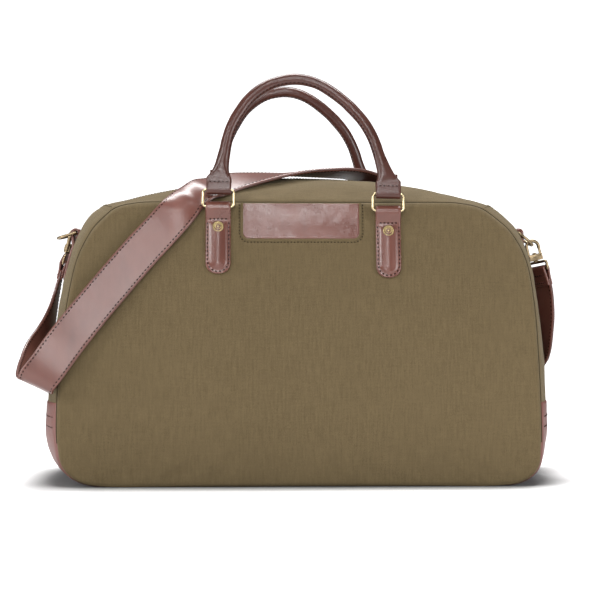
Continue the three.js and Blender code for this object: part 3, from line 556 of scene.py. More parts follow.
def panel_depth(x, z):
    crown = 5 * (1 - (x / 250) ** 2) * np.sin(np.pi * z / 290)
    return half_depth(z) + np.maximum(crown, 0)


def on_panel(face, x, z, off):
    x, z, off = np.broadcast_arrays(*(np.asarray(v, float) for v in (x, z, off)))
    return np.stack([x, face * (panel_depth(x, z) + off), z], axis=-1)


def gusset(station, side, s, lift=0.0):
    """Points of the gusset: s is -1 at the front seam and 1 at the rear seam, and lift is outwards."""
    station, s, lift = np.broadcast_arrays(*(np.asarray(v, float) for v in (station, s, lift)))
    reach = half_depth(half_outline(PANEL_POINTS, 1, station)[..., 1]) - 2.7
    swell = (1 - np.minimum(np.abs(s), 1) ** GUSSET_POWER)[..., None]

    def on(t):
        p, c = half_outline(PANEL_POINTS, side, t), half_outline(RIDGE_POINTS, side, t)
        return p + (c - p) * swell

    here = on(station)
    along = unit(on(np.minimum(station + 0.03, LAST)) - on(station - 0.03))
    x = side * (here[..., 0] + lift * along[..., 1])
    return np.stack([x, s * reach, here[..., 1] - lift * along[..., 0]], axis=-1)


def seam_dip(s, depth=2.6, width=5.0, reach=110.0):
    """How far the gusset's edge is drawn in where it is sewn to a panel."""
    return depth * np.clip(1 - (1 - np.abs(s)) * reach / width, 0, 1) ** 2


def crinkle(p, amount, scale, seed):
    """Small soft unevenness of cloth, the same on every run."""
    value = [noise.fractal(Vector(q * scale) + Vector((seed, 0, 0)), 0.9, 2.1, 3) for q in p.reshape(-1, 3)]
    return amount * np.array(value).reshape(p.shape[:-1])


def closed_outline(count):
    """The panel's whole outline, anticlockwise seen from the front, as x and z."""
    stations = np.linspace(0, LAST, 1400)
    right = half_outline(PANEL_POINTS, 1, stations)
    left = half_outline(PANEL_POINTS, -1, stations)[::-1] * [-1, 1]
    return resample(np.vstack([right, left[1:], right[:1]]), count=count + 1)[:-1]


def add_panel(name, face):
    count = 480
    outline = closed_outline(count)
    centre = np.array([0.0, 140.0])
    inward = unit(centre - outline)
    reach = np.linalg.norm(outline - centre, axis=1)
    near = [0, 0.5, 1.1, 1.8, 2.7, 3.8, 5, 6.5, 8.5, 11, 14, 18, 22, 26]
    distances = [np.full(count, d) for d in near]
    distances += [26 + (reach - 26) * t for t in np.linspace(0, 1, 26)[1:-1]]
    flat = np.array([outline + inward * d[:, None] for d in distances])
    gaps = np.array([np.min(np.linalg.norm(outline[None] - row[:, None], axis=2), axis=1) for row in flat])
    roll = ROLL - np.sqrt(np.maximum(ROLL**2 - (ROLL - np.minimum(gaps, ROLL)) ** 2, 0))
    rows = np.stack([flat[..., 0], np.zeros(flat.shape[:2]), flat[..., 1]], axis=-1)
    soft = crinkle(rows, 1.7, 0.009, 3 if face < 0 else 9) + crinkle(rows, 0.5, 0.045, 5)
    k = np.arange(count)
    pucker = 0.3 * np.sin(k * 2 * math.pi / 5.3 + 2 * np.sin(k * 0.11))
    folds = 0.9 * np.sin(k * 2 * math.pi / 13.7 + 3 * np.sin(k * 0.06)) * np.sin(k * 0.045) ** 2
    soft = soft + pucker[None] * np.exp(-(((gaps - 6) / 4) ** 2))
    soft = soft + folds[None] * np.exp(-(((gaps - 16) / 10) ** 2))
    under_trim = smooth(rows[..., 2], 195, 215) * (1 - smooth(np.abs(rows[..., 0] - 3), 105, 125))
    soft = soft * (1 - 0.9 * under_trim)
    depth = panel_depth(rows[..., 0], rows[..., 2]) - roll + soft * np.clip(gaps / 14, 0, 1)
    rows[..., 1] = face * depth
    hidden = rows[0] + np.stack([inward[:, 0] * 2, np.full(count, -face * 3.0), inward[:, 1] * 2], axis=-1)
    points = np.concatenate([hidden[None], rows])
    faces, _ = grid_faces(*points.shape[:2], closed_columns=True)
    middle = points[-1].mean(axis=0)
    vertices = np.vstack([points.reshape(-1, 3), middle])
    last = (len(points) - 1) * count
    faces += [(last + j, last + (j + 1) % count, len(vertices) - 1) for j in range(count)]
    uv = [(vertices[i][0] * MM, vertices[i][2] * MM) for f in faces for i in f]
    return add_piece(f"{name}_cloth", vertices, faces, "canvas", "bag", [f"{name}_panel"], uv, INSIDE)


def add_seam_shade_line(name, face):
    """A dark tube where a panel meets the gusset, from one corner patch over to the other: painted shade of
    the crease at the seam.
    """
    stations = np.linspace(PATCH_END - 1, LAST, 260)
    right = half_outline(PANEL_POINTS, 1, stations)
    left = half_outline(PANEL_POINTS, -1, stations[::-1]) * [-1, 1]
    line = np.vstack([right, left[1:]])
    path = np.stack([line[:, 0], face * (half_depth(line[:, 1]) - ROLL + 1.6), line[:, 1]], axis=-1)
    add_tube(f"{name}_seam", resample(path, step=3), 0.6, "seam_shade", "bag", sides=8)


ACROSS = np.sin(np.linspace(-1, 1, 73) * math.pi / 2)


def add_gusset(side, name):
    station = np.linspace(PATCH_END - 0.15, SHOULDER, 130)[:, None]
    p = gusset(station, side, ACROSS[None], -seam_dip(ACROSS)[None])
    soft = crinkle(p, 1.8, 0.012, 4 + side) + crinkle(p, 0.5, 0.05, 2)
    edge = np.clip((1 - np.abs(ACROSS))[None] * 12, 0, 1) * np.clip((station - PATCH_END) * 3, 0, 1)
    p[..., 0] += side * soft * edge * np.clip((SHOULDER - station) * 4, 0, 1)
    add_grid(f"{name}_side_cloth", p, "canvas", "bag", [f"{name}_gusset"], inside=INSIDE)


def add_patch(side, name):
    """A leather corner: it covers the gusset from the base up, and its top edge is folded under."""
    tuck = PATCH_END + np.array([0.02, 0.035, 0.035])
    station = np.concatenate([[1.0], np.linspace(1.0, PATCH_END, 76), tuck])
    lift = np.concatenate([[-0.6], np.full(76, 1.0), [0.8, 0.2, -1.2]])
    p = gusset(station[:, None], side, ACROSS[None], lift[:, None] - 1.2 * seam_dip(ACROSS)[None])
    wrinkle = crinkle(p, 0.7, 0.03, 11 + side) * np.clip((1 - np.abs(ACROSS)) * 10, 0, 1)[None]
    p[..., 0] += side * wrinkle * np.clip((PATCH_END - station) * 2, 0, 1)[:, None]
    p[..., 2] = np.maximum(p[..., 2], 0.15)
    add_grid(f"{name}_patch", p, "patch_leather", "bag", [f"{name}_corner_patch"], inside=INSIDE)
    out = np.array([side, 0, 0.0])
    across = np.linspace(-0.93, 0.93, 120)
    top = gusset(np.full(120, PATCH_END - 0.28), side, across, 1.05)
    lower = gusset(np.full(120, PATCH_END - 0.55), side, across, 1.05)
    add_stitches(f"{name}_patch_stitches", [(top, out), (lower, out)], "bag")


ZIP_EDGE = 6.4


def add_top(face, name):
    stations = [(-1, t) for t in np.linspace(SHOULDER, LAST, 90)]
    stations += [(1, t) for t in np.linspace(LAST, SHOULDER, 90)[1:]]
    rows = []
    for side, t in stations:
        reach = float(half_depth(half_outline(PANEL_POINTS, 1, t)[1]) - 2.7)
        y = np.concatenate([
            ZIP_EDGE + np.array([2.5, 0.6, 0, 0.3, 1]), np.linspace(ZIP_EDGE + 2.2, reach - 5, 26),
            reach - np.array([4, 3, 2, 1.2, 0.6, 0]),
        ])
        lift = -seam_dip(y / reach)
        lift[:5] = [-1.9, -1.7, -0.9, -0.2, 0]
        rows.append(gusset(np.full(len(y), t), side, face * y / reach, lift))
    p = np.array(rows)
    soft = crinkle(p, 1.3, 0.012, 6 + face) + crinkle(p, 0.45, 0.05, 1)
    inner = np.clip((np.abs(p[..., 1]) - 12) / 10, 0, 1) * np.clip((78 - np.abs(p[..., 1])) / 8, 0, 1)
    p[..., 2] += soft * inner * np.clip((196 - np.abs(p[..., 0])) / 15, 0, 1)
    add_grid(f"{name}_top_cloth", p, "canvas", "bag", [f"top_gusset_{name}"], inside=INSIDE)
    line = p[4:-4, 7] + [0, 0, 0.1]
    add_stitches(f"{name}_zip_stitches", [(line, (0, 0, 1.0))], "bag", "canvas_thread", 3.2, 2.4, 0.6, 0.3)


def add_shoulder(side, name):
    """The gusset's end, turned under and stitched over the end of the zip."""
    s = ACROSS[None] * 0.985
    station = SHOULDER + np.array([0.03, 0.01, -0.04, -0.3, -0.5])[:, None]
    lift = np.array([-0.6, 0.6, 0.9, 0.5, -0.6])[:, None] - seam_dip(s)
    add_grid(f"{name}_shoulder_fold", gusset(station, side, s, lift), "canvas", "bag", inside=INSIDE)
    line = gusset(np.full(140, SHOULDER - 0.13), side, np.linspace(-0.94, 0.94, 140), 0.95)
    add_stitches(f"{name}_shoulder_stitches", [(line, (side * 0.5, 0, 0.85))], "bag", "canvas_thread",
                 3.2, 2.4, 0.6, 0.3)


def add_base():
    depth = BASE_DEPTH - 3
    y = np.sin(np.linspace(-1, 1, 61) * math.pi / 2) * depth
    z = 0.1 + np.clip(1 - (depth - np.abs(y)) / 4, 0, 1) ** 2 * 2.2
    p = np.stack(np.broadcast_arrays(np.linspace(-188, 196, 60)[:, None], y[None], z[None]), axis=-1)
    add_grid("base_cloth", p, "canvas", "bag", ["base_panel"], inside=INSIDE)


def add_lining():
    """The lining is an open bag that hangs inside the shell."""
    angle = np.linspace(0, 2 * math.pi, 120, endpoint=False)
    c, s = np.cos(angle), np.sin(angle)
    rows = []
    for station in np.linspace(2, 10, 40):
        x, z = half_outline(PANEL_POINTS, -1, station)
        a, b = x - 9.5, half_depth(z) - 9.5
        z = max(float(z), 7.5)
        rows.append(np.stack([a * np.sign(c) * np.abs(c) ** 0.75, b * np.sign(s) * np.abs(s) ** 0.75,
                              np.full(len(c), z)], axis=-1))
    rows.insert(0, rows[0] * [0.9, 0.8, 1])
    p = np.array(rows)
    p[2:, :, 1] -= np.sign(p[2:, :, 1]) * (1.5 + crinkle(p[2:], 1.2, 0.03, 21))
    add_grid("lining_cloth", p, "lining_cloth", "bag", ["lining"], closed=(False, True), inside=INSIDE)


add_panel("front", -1)
add_panel("rear", 1)
add_seam_shade_line("front", -1)
add_seam_shade_line("rear", 1)
for end, end_name in ((-1, "left"), (1, "right")):
    add_gusset(end, end_name)
    add_patch(end, end_name)
    add_shoulder(end, end_name)
add_top(-1, "front")
add_top(1, "rear")
add_base()
add_lining()

# ---------------------------------------------------------------- the blank leather label
LABEL_LEFT, LABEL_RIGHT, LABEL_BOTTOM, LABEL_TOP = -57, 61, 249, 285


def rounded_u(grow, radius, top, steps=12):
    """Down the label's left side, along its bottom and up its right side, grown by some mm."""
    left, right, bottom = LABEL_LEFT - grow, LABEL_RIGHT + grow, LABEL_BOTTOM - grow
    turn = np.linspace(0, math.pi / 2, steps)
    points = [(left, top)]
    points += [(left + radius * (1 - math.cos(t)), bottom + radius * (1 - math.sin(t))) for t in turn]
    points += [(right - radius * (1 - math.sin(t)), bottom + radius * (1 - math.cos(t))) for t in turn]
    points += [(right, top)]
    return resample(points, step=1.5)


def add_label():
    rows = []
    z = np.concatenate([LABEL_BOTTOM + 6 * (1 - np.cos(np.linspace(0, math.pi / 2, 12))),
                        np.linspace(256, LABEL_TOP, 22)])
    for height in z:
        pull = 6 - math.sqrt(max(36 - max(6 - (height - LABEL_BOTTOM), 0) ** 2, 0))
        x = np.sin(np.linspace(-1, 1, 60) * math.pi / 2)
        x = LABEL_LEFT + pull + (x + 1) / 2 * (LABEL_RIGHT - LABEL_LEFT - 2 * pull)
        gap = np.minimum.reduce([x - x[0], x[-1] - x, np.full(60, height - LABEL_BOTTOM)])
        swell = np.sin(np.pi * np.clip((x - LABEL_LEFT) / (LABEL_RIGHT - LABEL_LEFT), 0, 1))
        swell = swell * math.sin(math.pi * (height - LABEL_BOTTOM + 4) / (LABEL_TOP - LABEL_BOTTOM + 8))
        rows.append(on_panel(-1, x, height, 0.2 + 0.6 * np.sqrt(np.clip(gap / 0.8, 0, 1)) + 1.8 * swell))
    p = np.array(rows)
    p[..., 1] += crinkle(p, 0.3, 0.06, 31)
    add_grid("front_label", p, "leather", "bag", ["front_label_patch"], inside=INSIDE)
    rim = rounded_u(1.0, 7, 285.5)
    path = on_panel(-1, rim[:, 0], rim[:, 1], 0.2)
    add_tube("label_window", path, 1.3, "canvas", "bag", side=unit(np.cross(tangents(path), (0, 1, 0))),
             flat=0.7, sides=18)
    line = rounded_u(3.6, 9, 285)
    path = on_panel(-1, line[:, 0], line[:, 1], 0.25)
    add_stitches("label_stitches", [(path, (0, -1.0, 0))], "bag", "canvas_thread", 3.4, 2.1, 1.3, 0.35)


add_label()

# ---------------------------------------------------------------- handles, their rings and tabs
HANDLES = {
    "front": {"face": -1, "x": (-82, 90), "z": (281.5, 277.5)},
    "rear": {"face": 1, "x": (-84, 80), "z": (281.5, 281.5)},
}
# Each handle's place at rest: the middle of its left ring's lower bar, its three axes and its span.
HANDLE_FRAMES = {
    "front": ((-82, -90.29, 281.5), (0.99971, -0.0064, -0.02325), (0.00193, 0.98228, -0.1874),
              (0.02404, 0.1873, 0.98201), 172.05),
    "rear": ((-84, 90.29, 281.5), (1, 0, 0), (0, 0.98229, 0.18738), (0, -0.18738, 0.98229), 164.0),
}
TAB_WIDTH, TAB_LENGTH, TAB_OFFSET = 25.5, 68, 6.7
RIVET_DROP = 20.5
RING_PITCH, RING_WIDTH, WIRE = 17.5, 34, 2.8


def placed(place, points):
    """Points of a frame given as origin, X, Y and Z, in the bag's own frame."""
    origin, axes = np.array(place[0], float), np.array(place[1:4], float)
    return origin + np.asarray(points, float) @ axes


def loop_axis(handle, x):
    left, right = (on_panel(handle["face"], handle["x"][i], handle["z"][i], TAB_OFFSET) for i in (0, 1))
    return left + (right - left) * (x - handle["x"][0]) / (handle["x"][1] - handle["x"][0])


def add_tab(name, handle, side, x):
    face = handle["face"]
    axis = loop_axis(handle, x)
    half = TAB_WIDTH / 2
    loop = 3.5
    flat = [(-TAB_LENGTH + d, 1.9) for d in np.linspace(0, TAB_LENGTH - 19, 60)]
    rise = [(-17, 2.0), (-14, 2.6), (-11, 3.7), (-8, 5.6), (-5, 8.0), (-2.4, 9.6)]
    round_bar = [(loop * math.sin(a), TAB_OFFSET + loop * math.cos(a)) for a in np.linspace(0, math.pi, 12)]
    back = [(-4, 2.6), (-9, 1.8)]
    profile = resample(spline(flat + rise + round_bar + back, np.linspace(0, 1, 500)), step=0.9)
    path = on_panel(face, x, axis[2] + profile[:, 0], profile[:, 1])
    far = np.concatenate([[0], np.cumsum(np.linalg.norm(np.diff(path, axis=0), axis=1))])
    width = half * np.maximum(1 - np.clip(1 - far / half, 0, 1) ** 2.3, 0.01) ** (1 / 2.3)

    def pad(s, across):
        if s < half:
            edge = half - np.sqrt((half - s) ** 2 + across**2)
        else:
            edge = half - np.abs(across)
        padding = 1.0 * smooth(edge, 3.2, 5.4) + 1.6 * smooth(edge, 3.4, 12.7)
        return padding * (1 - smooth(s, 49, 57)) + 0.3 * smooth(edge, 0, 2)

    wide = np.broadcast_to((-face, 0.0, 0.0), path.shape)
    add_ribbon(f"{name}_{side}_tab_leather", path, wide, width, 3.0, "leather", "bag",
               [f"{name}_{side}_tab"], crown=pad, round_ends=False, interior=22)
    angle = np.linspace(-math.pi / 2, math.pi / 2, 30)
    inset = half - 2.0
    low = [(inset * math.sin(a), axis[2] - TAB_LENGTH + half - inset * math.cos(a)) for a in angle]
    top = axis[2] - 15
    u = resample([(-inset, top), *low, (inset, top)], step=1.2)
    run = on_panel(face, x + u[:, 0], u[:, 1], 3.75)
    cross = on_panel(face, x + np.linspace(-inset + 1, inset - 1, 20), axis[2] - 12.6, 4.95)
    out = (0, face * 1.0, 0)
    add_stitches(f"{name}_{side}_tab_stitches", [(run, out), (cross, out)], "bag")


def add_lathe(name, profile, seat, out, material, body, replaces=(), sides=40):
    """A turned piece: its profile is radius and height above the seat."""
    out = unit(out)
    side = unit(np.cross(out, (1.0, 0.2, 0.1)))
    other = np.cross(out, side)
    angle = np.linspace(0, 2 * math.pi, sides, endpoint=False)
    circle = np.outer(np.cos(angle), side) + np.outer(np.sin(angle), other)
    rows = [np.asarray(seat) + out * h + max(r, 0.01) * circle for r, h in profile]
    return add_grid(name, rows, material, body, replaces, closed=(False, True), caps=True)


RIVET = [
    (0, -6), (2, -6), (2, -0.6), (5.3, -0.5), (5.65, -0.1), (5.7, 0.6), (5.5, 1.3), (5.1, 1.7), (4.7, 1.75),
    (4.35, 1.5), (4.15, 1.05), (3.7, 0.95), (3.2, 1.0), (2.9, 1.35), (2.5, 1.4), (2.2, 1.1), (1.6, 1.15),
    (0.9, 1.45), (0.3, 1.55), (0, 1.56),
]


def add_rivet(name, handle, side, x):
    face = handle["face"]
    z = loop_axis(handle, x)[2] - RIVET_DROP
    seat = on_panel(face, x, z, 5.0)
    up = on_panel(face, x, z + 1, 0) - on_panel(face, x, z - 1, 0)
    out = np.cross(up, (1.0, 0, 0))
    out = out if out[1] * face > 0 else -out
    add_lathe(f"{name}_{side}_rivet_head", RIVET, seat, out, "antique_brass", "bag",
              [f"{name}_{side}_rivet"])


def rounded_loop(width, height, radius, steps=10):
    """A closed rounded rectangle round the origin, as x and z."""
    a, b = width / 2 - radius, height / 2 - radius
    points = []
    for turn, (cx, cz) in enumerate(((a, b), (-a, b), (-a, -b), (a, -b))):
        for t in np.linspace(0, math.pi / 2, steps):
            angle = turn * math.pi / 2 + t
            points.append((cx + radius * math.cos(angle), cz + radius * math.sin(angle)))
    closed = np.array(points + points[:1])
    return resample(closed, step=0.4)[:-1]


ARCH = np.array([
    [0, 17.5], [0.4, 25], [1.6, 36], [4.8, 56], [10, 80], [20, 101], [33.4, 118.5], [51.3, 130.7],
    [73, 136], [92.2, 134], [110.2, 125.4], [129.1, 110.8], [145, 93.8], [156, 75.2], [163, 55.5],
    [169.5, 36], [171.5, 25], [172, 17.5],
])
# Half width, half thickness and squareness of the handle, by the distance from the ring's upper bar.
FLARE = np.array([
    [0, 12.4, 2.9, 5], [9, 12.6, 3.0, 5], [12.5, 12.2, 3.3, 4.4], [16, 10.4, 4.0, 3.4], [20, 8.6, 4.8, 2.7],
    [26, 7.2, 5.4, 2.2], [34, 6.4, 5.7, 2], [44, 5.8, 5.8, 2],
])


def arch_path(span, step):
    path = resample(spline(ARCH, np.linspace(0, 1, 900)), step=step)
    return np.stack([path[:, 0] * span / 172, np.zeros(len(path)), path[:, 1]], axis=-1)


def add_handle(name):
    place = HANDLE_FRAMES[name]
    span = place[4]
    body, rings = f"{name}_handle", f"{name}_rings"
    path = arch_path(span, 1.4)
    far = np.concatenate([[0], np.cumsum(np.linalg.norm(np.diff(path, axis=0), axis=1))])
    keep = (far > 3) & (far < far[-1] - 3)
    near = np.minimum(far, far[-1] - far)
    along = tangents(path)
    inner = np.stack([along[:, 2], np.zeros(len(path)), -along[:, 0]], axis=-1)
    wide, thick, square = (np.interp(near, FLARE[:, 0], FLARE[:, k]) for k in (1, 2, 3))
    angle = np.linspace(0, 2 * math.pi, 40, endpoint=False)
    rows = []
    for i in np.flatnonzero(keep):
        c, s = np.cos(angle), np.sin(angle)
        e = 2 / square[i]
        a = wide[i] * np.sign(c) * np.abs(c) ** e
        b = thick[i] * np.sign(s) * np.abs(s) ** e
        rows.append(path[i] + np.outer(a, inner[i]) + np.outer(b, (0, 1.0, 0)))
    p = np.array(rows)
    bumps = crinkle(p, 0.3, 0.045, 41) + crinkle(p, 0.08, 0.2, 43)
    p = p + unit(p - path[keep][:, None]) * bumps[..., None]
    cover = add_grid(f"{name}_handle_leather", placed(place, p.reshape(-1, 3)).reshape(p.shape),
                     "handle_leather", body, [f"{name}_handle_cover"], closed=(False, True), caps=True)
    core = arch_path(span, 3)
    trim = (core[:, 2] > 22)
    add_tube(f"{name}_handle_rope", placed(place, core[trim]), 2.5, "lining_cloth", body,
             [f"{name}_handle_core"], sides=12)
    runs = []
    tilt = math.radians(38)
    direction = inner * math.cos(tilt) + np.array([0, -math.sin(tilt), 0])
    middle = near > 40
    line = path + direction * (thick[:, None] + 0.05)
    axes = np.array(place[1:4], float)
    runs.append((placed(place, line[middle]), direction[middle] @ axes))
    for end, x in (("left", 0.0), ("right", span)):
        circle = [(-3.7 * math.cos(a), RING_PITCH - 3.7 * math.sin(a)) for a in np.linspace(0, math.pi, 14)]
        front = [(-1.2, 19), (-1.9, 13), (-2.2, 9), (-3.1, 4)]
        front = [(y, RING_PITCH + z) for y, z in front]
        turned = front + circle + [(-y, z) for y, z in front[::-1]]
        profile = resample(spline(turned, np.linspace(0, 1, 300)), step=0.9)
        loop = np.stack([np.full(len(profile), x), profile[:, 0], profile[:, 1]], axis=-1)
        narrow = 12.6 - 3.4 * smooth(profile[:, 1], RING_PITCH + 12, RING_PITCH + 17)
        add_ribbon(f"{name}_handle_{end}_loop", placed(place, loop), np.broadcast_to(axes[0], loop.shape),
                   narrow, 2.6, "handle_leather", body, interior=14)
        for face in (-1, 1):
            across = np.linspace(-10.5, 10.5, 16)
            line = np.stack([x + across, np.full(16, face * 3.75), np.full(16, RING_PITCH + 7.4)], axis=-1)
            runs.append((placed(place, line), np.array([0, face * 1.0, 0]) @ axes))
        ring = rounded_loop(RING_WIDTH - WIRE, RING_PITCH, 3.6)
        ring = np.stack([x + ring[:, 0], np.zeros(len(ring)), RING_PITCH / 2 + ring[:, 1]], axis=-1)
        add_tube(f"{name}_{end}_ring_wire", placed(place, ring), WIRE / 2, "brass", rings,
                 [f"{name}_{end}_ring"], closed=True, sides=18, side=axes[1])
    add_stitches(f"{name}_handle_stitches", runs, body)


for handle_name, handle_spec in HANDLES.items():
    for tab_side, tab_x in zip(("left", "right"), handle_spec["x"]):
        add_tab(handle_name, handle_spec, tab_side, tab_x)
        add_rivet(handle_name, handle_spec, tab_side, tab_x)
    add_handle(handle_name)


# ---------------------------------------------------------------- small metal blocks
def block_points(centre, halfs, radius, lat=9, lon=16):
    """Vertices and faces of a box with rounded edges."""
    theta = (np.arange(lat) + 0.5) / lat * math.pi
    phi = (np.arange(lon) + 0.5) / lon * 2 * math.pi
    ball = np.array([(math.sin(t) * math.cos(p), math.sin(t) * math.sin(p), math.cos(t))
                     for t in theta for p in phi])
    flat = np.asarray(halfs, float) - radius
    vertices = np.asarray(centre, float) + np.sign(ball) * flat + radius * ball
    faces, _ = grid_faces(lat, lon, closed_columns=True)
    faces = list(faces) + [tuple(range(lon))[::-1], tuple(range((lat - 1) * lon, lat * lon))]
    return vertices, faces


def add_blocks(name, place, blocks, material, body, replaces=(), lat=9, lon=16):
    vertices, faces, count = [], [], 0
    for centre, halfs, radius in blocks:
        v, f = block_points(centre, halfs, radius, lat, lon)
        vertices.append(v)
        faces += [tuple(i + count for i in face) for face in f]
        count += len(v)
    return add_piece(name, placed(place, np.concatenate(vertices)), faces, material, body, replaces)


# ---------------------------------------------------------------- the zip
FLAT = ((0, 0, 0), (1, 0, 0), (0, 1, 0), (0, 0, 1))
SLIDER_SEAT = ((94, 0, 309.16), (0.99094, 0, -0.13429), (0, 1, 0), (0.13429, 0, 0.99094))


def add_zip():
    teeth = []
    for i, x in enumerate(np.arange(-195, 196, 1.55)):
        teeth.append(((x, 0.75 if i % 2 else -0.75, ridge(x) - 1.2), (0.6, 1.9, 0.75), 0.3))
    add_blocks("zip_teeth", FLAT, teeth, "antique_brass", "bag", ["zip_chain"], lat=4, lon=8)
    for face, name in ((-1, "front"), (1, "rear")):
        x = np.linspace(-198, 198, 160)
        path = np.stack([x, np.full(160, face * 8.7), np.array([ridge(v) for v in x]) - 3.4], axis=-1)
        add_ribbon(f"zip_tape_{name}_cloth", path, np.broadcast_to((0, 1.0, 0), path.shape), 8.3, 0.7,
                   "zip_tape", "bag", [f"zip_tape_{name}"], interior=6)
    body = [
        ((0, 0, 0.65), (6, 4.7, 0.65), 0.5), ((-1, 0, 1.2), (3.2, 1.6, 0.8), 0.6),
        ((0, 4.1, -0.9), (6, 0.8, 1.3), 0.4), ((0, -4.1, -0.9), (6, 0.8, 1.3), 0.4),
        ((7, 3.4, 0.65), (2, 0.95, 0.65), 0.4), ((7, -3.4, 0.65), (2, 0.95, 0.65), 0.4),
    ]
    add_blocks("zip_slider_body", SLIDER_SEAT, body, "brass", "zip_slider", ["zip_slider"])
    loop = rounded_loop(24.6, 3.0, 1.4)
    loop = np.stack([19.9 + loop[:, 0], loop[:, 1], np.full(len(loop), 0.65)], axis=-1)
    add_tube("zip_pull_tag", placed(SLIDER_SEAT, loop), 0.7, "brass", "zip_pull", ["zip_pull"],
             closed=True, sides=12, side=SLIDER_SEAT[3], flat=0.6)
    web = [((17, 0, 0.65), (9, 1.3, 0.3), 0.2)]
    add_blocks("zip_pull_web", SLIDER_SEAT, web, "brass", "zip_pull")
    pin = np.array([[7.7, -3.3, 0.65], [7.7, 0, 0.65], [7.7, 3.3, 0.65]])
    add_tube("zip_pull_pin", placed(SLIDER_SEAT, pin), 0.5, "brass", "zip_pull", sides=10)


add_zip()

# ---------------------------------------------------------------- side tabs, D-rings, hooks and strap ends
D_STATION = 8.87
D_HALF, D_STRAIGHT = 14.5, 6
HOOK_UP = {"left": (0.25009, -0.20007, 0.94733), "right": (-0.23995, 0, 0.97079)}
ENDS = {
    "left": {
        "side": -1, "bow": (-0.966, 0, -0.259), "bar": (-232.5, 0, 257.4),
        "hook": ((-242.92, 16.52, 245.1), (0.05107, 0.97978, 0.19344), HOOK_UP["left"],
                 (0.96688, 0, -0.25525)),
        "eye": ((-242.92, 16.52, 245.1), (0.0026, 0.97855, 0.20598), HOOK_UP["left"],
                (0.96822, 0.04905, -0.24524)),
    },
    "right": {
        "side": 1, "bow": (0.79, 0, -0.613), "bar": (235.23, 0, 257.83),
        "hook": ((254.02, 0, 234.78), (0.97079, 0, 0.23995), HOOK_UP["right"], (0, -1, 0)),
        "eye": ((254.02, 0, 234.78), (-0.32153, 0.94356, -0.07947), HOOK_UP["right"],
                (0.91599, 0.33121, 0.2264)),
    },
}


def add_d_ring(name, spec):
    side, bar = spec["side"], np.array(spec["bar"], float)
    stations = np.linspace(7.57, 8.52, 30)
    climb = gusset(stations, side, 0.0, 1.9)
    here, above = gusset(np.array([D_STATION - 0.1, D_STATION + 0.1]), side, 0.0)
    up = unit(above - here)
    out = side * np.array([up[2], 0, -up[0]])
    turn = [bar + 3.5 * (math.cos(a) * out + math.sin(a) * up) for a in np.linspace(-0.5, math.pi, 14)]
    back = [bar - 3.0 * out - 4 * up]
    path = resample(spline(np.vstack([climb[::3], turn, back]), np.linspace(0, 1, 300)), step=0.9)
    half = TAB_WIDTH / 2
    far = np.concatenate([[0], np.cumsum(np.linalg.norm(np.diff(path, axis=0), axis=1))])
    width = np.where(far < 4, half - 4 + np.sqrt(np.maximum(16 - (4 - far) ** 2, 0)), half)
    wide = np.broadcast_to((0, side * 1.0, 0), path.shape)
    add_ribbon(f"{name}_d_tab_leather", path, wide, width, 3.0, "leather", "bag", [f"{name}_d_tab"],
               crown=lambda s, x: 0.4 * smooth(half - np.abs(x), 0, 2), interior=14)
    box = [(7.68, -0.095), (7.68, 0.095), (8.32, 0.095), (8.32, -0.095), (7.68, -0.095)]
    ring = resample(box, count=60)
    add_stitches(f"{name}_d_tab_stitches", [(gusset(ring[:, 0], side, ring[:, 1], 3.9), tuple(out))], "bag")
    place = (bar, (0, 1, 0), unit(spec["bow"]), np.cross((0, 1, 0), unit(spec["bow"])))
    r = D_HALF
    points = [(-r + 2, 0), (r - 2, 0), (r - 0.6, 0.6), (r, 2), (r, D_STRAIGHT)]
    points += [(r * math.cos(a), D_STRAIGHT + r * math.sin(a)) for a in np.linspace(0, math.pi, 30)[1:]]
    points += [(-r, 2), (-r + 0.6, 0.6), (-r + 2, 0)]
    wire = resample(points, step=1.0)[:-1]
    wire = np.stack([wire[:, 0], wire[:, 1], np.zeros(len(wire))], axis=-1)
    add_tube(f"{name}_d_ring_wire", placed(place, wire), 1.5, "hook_brass", f"{name}_d_ring",
             [f"{name}_d_ring"], closed=True, sides=16, side=np.asarray(place[3]), flat=1.4)


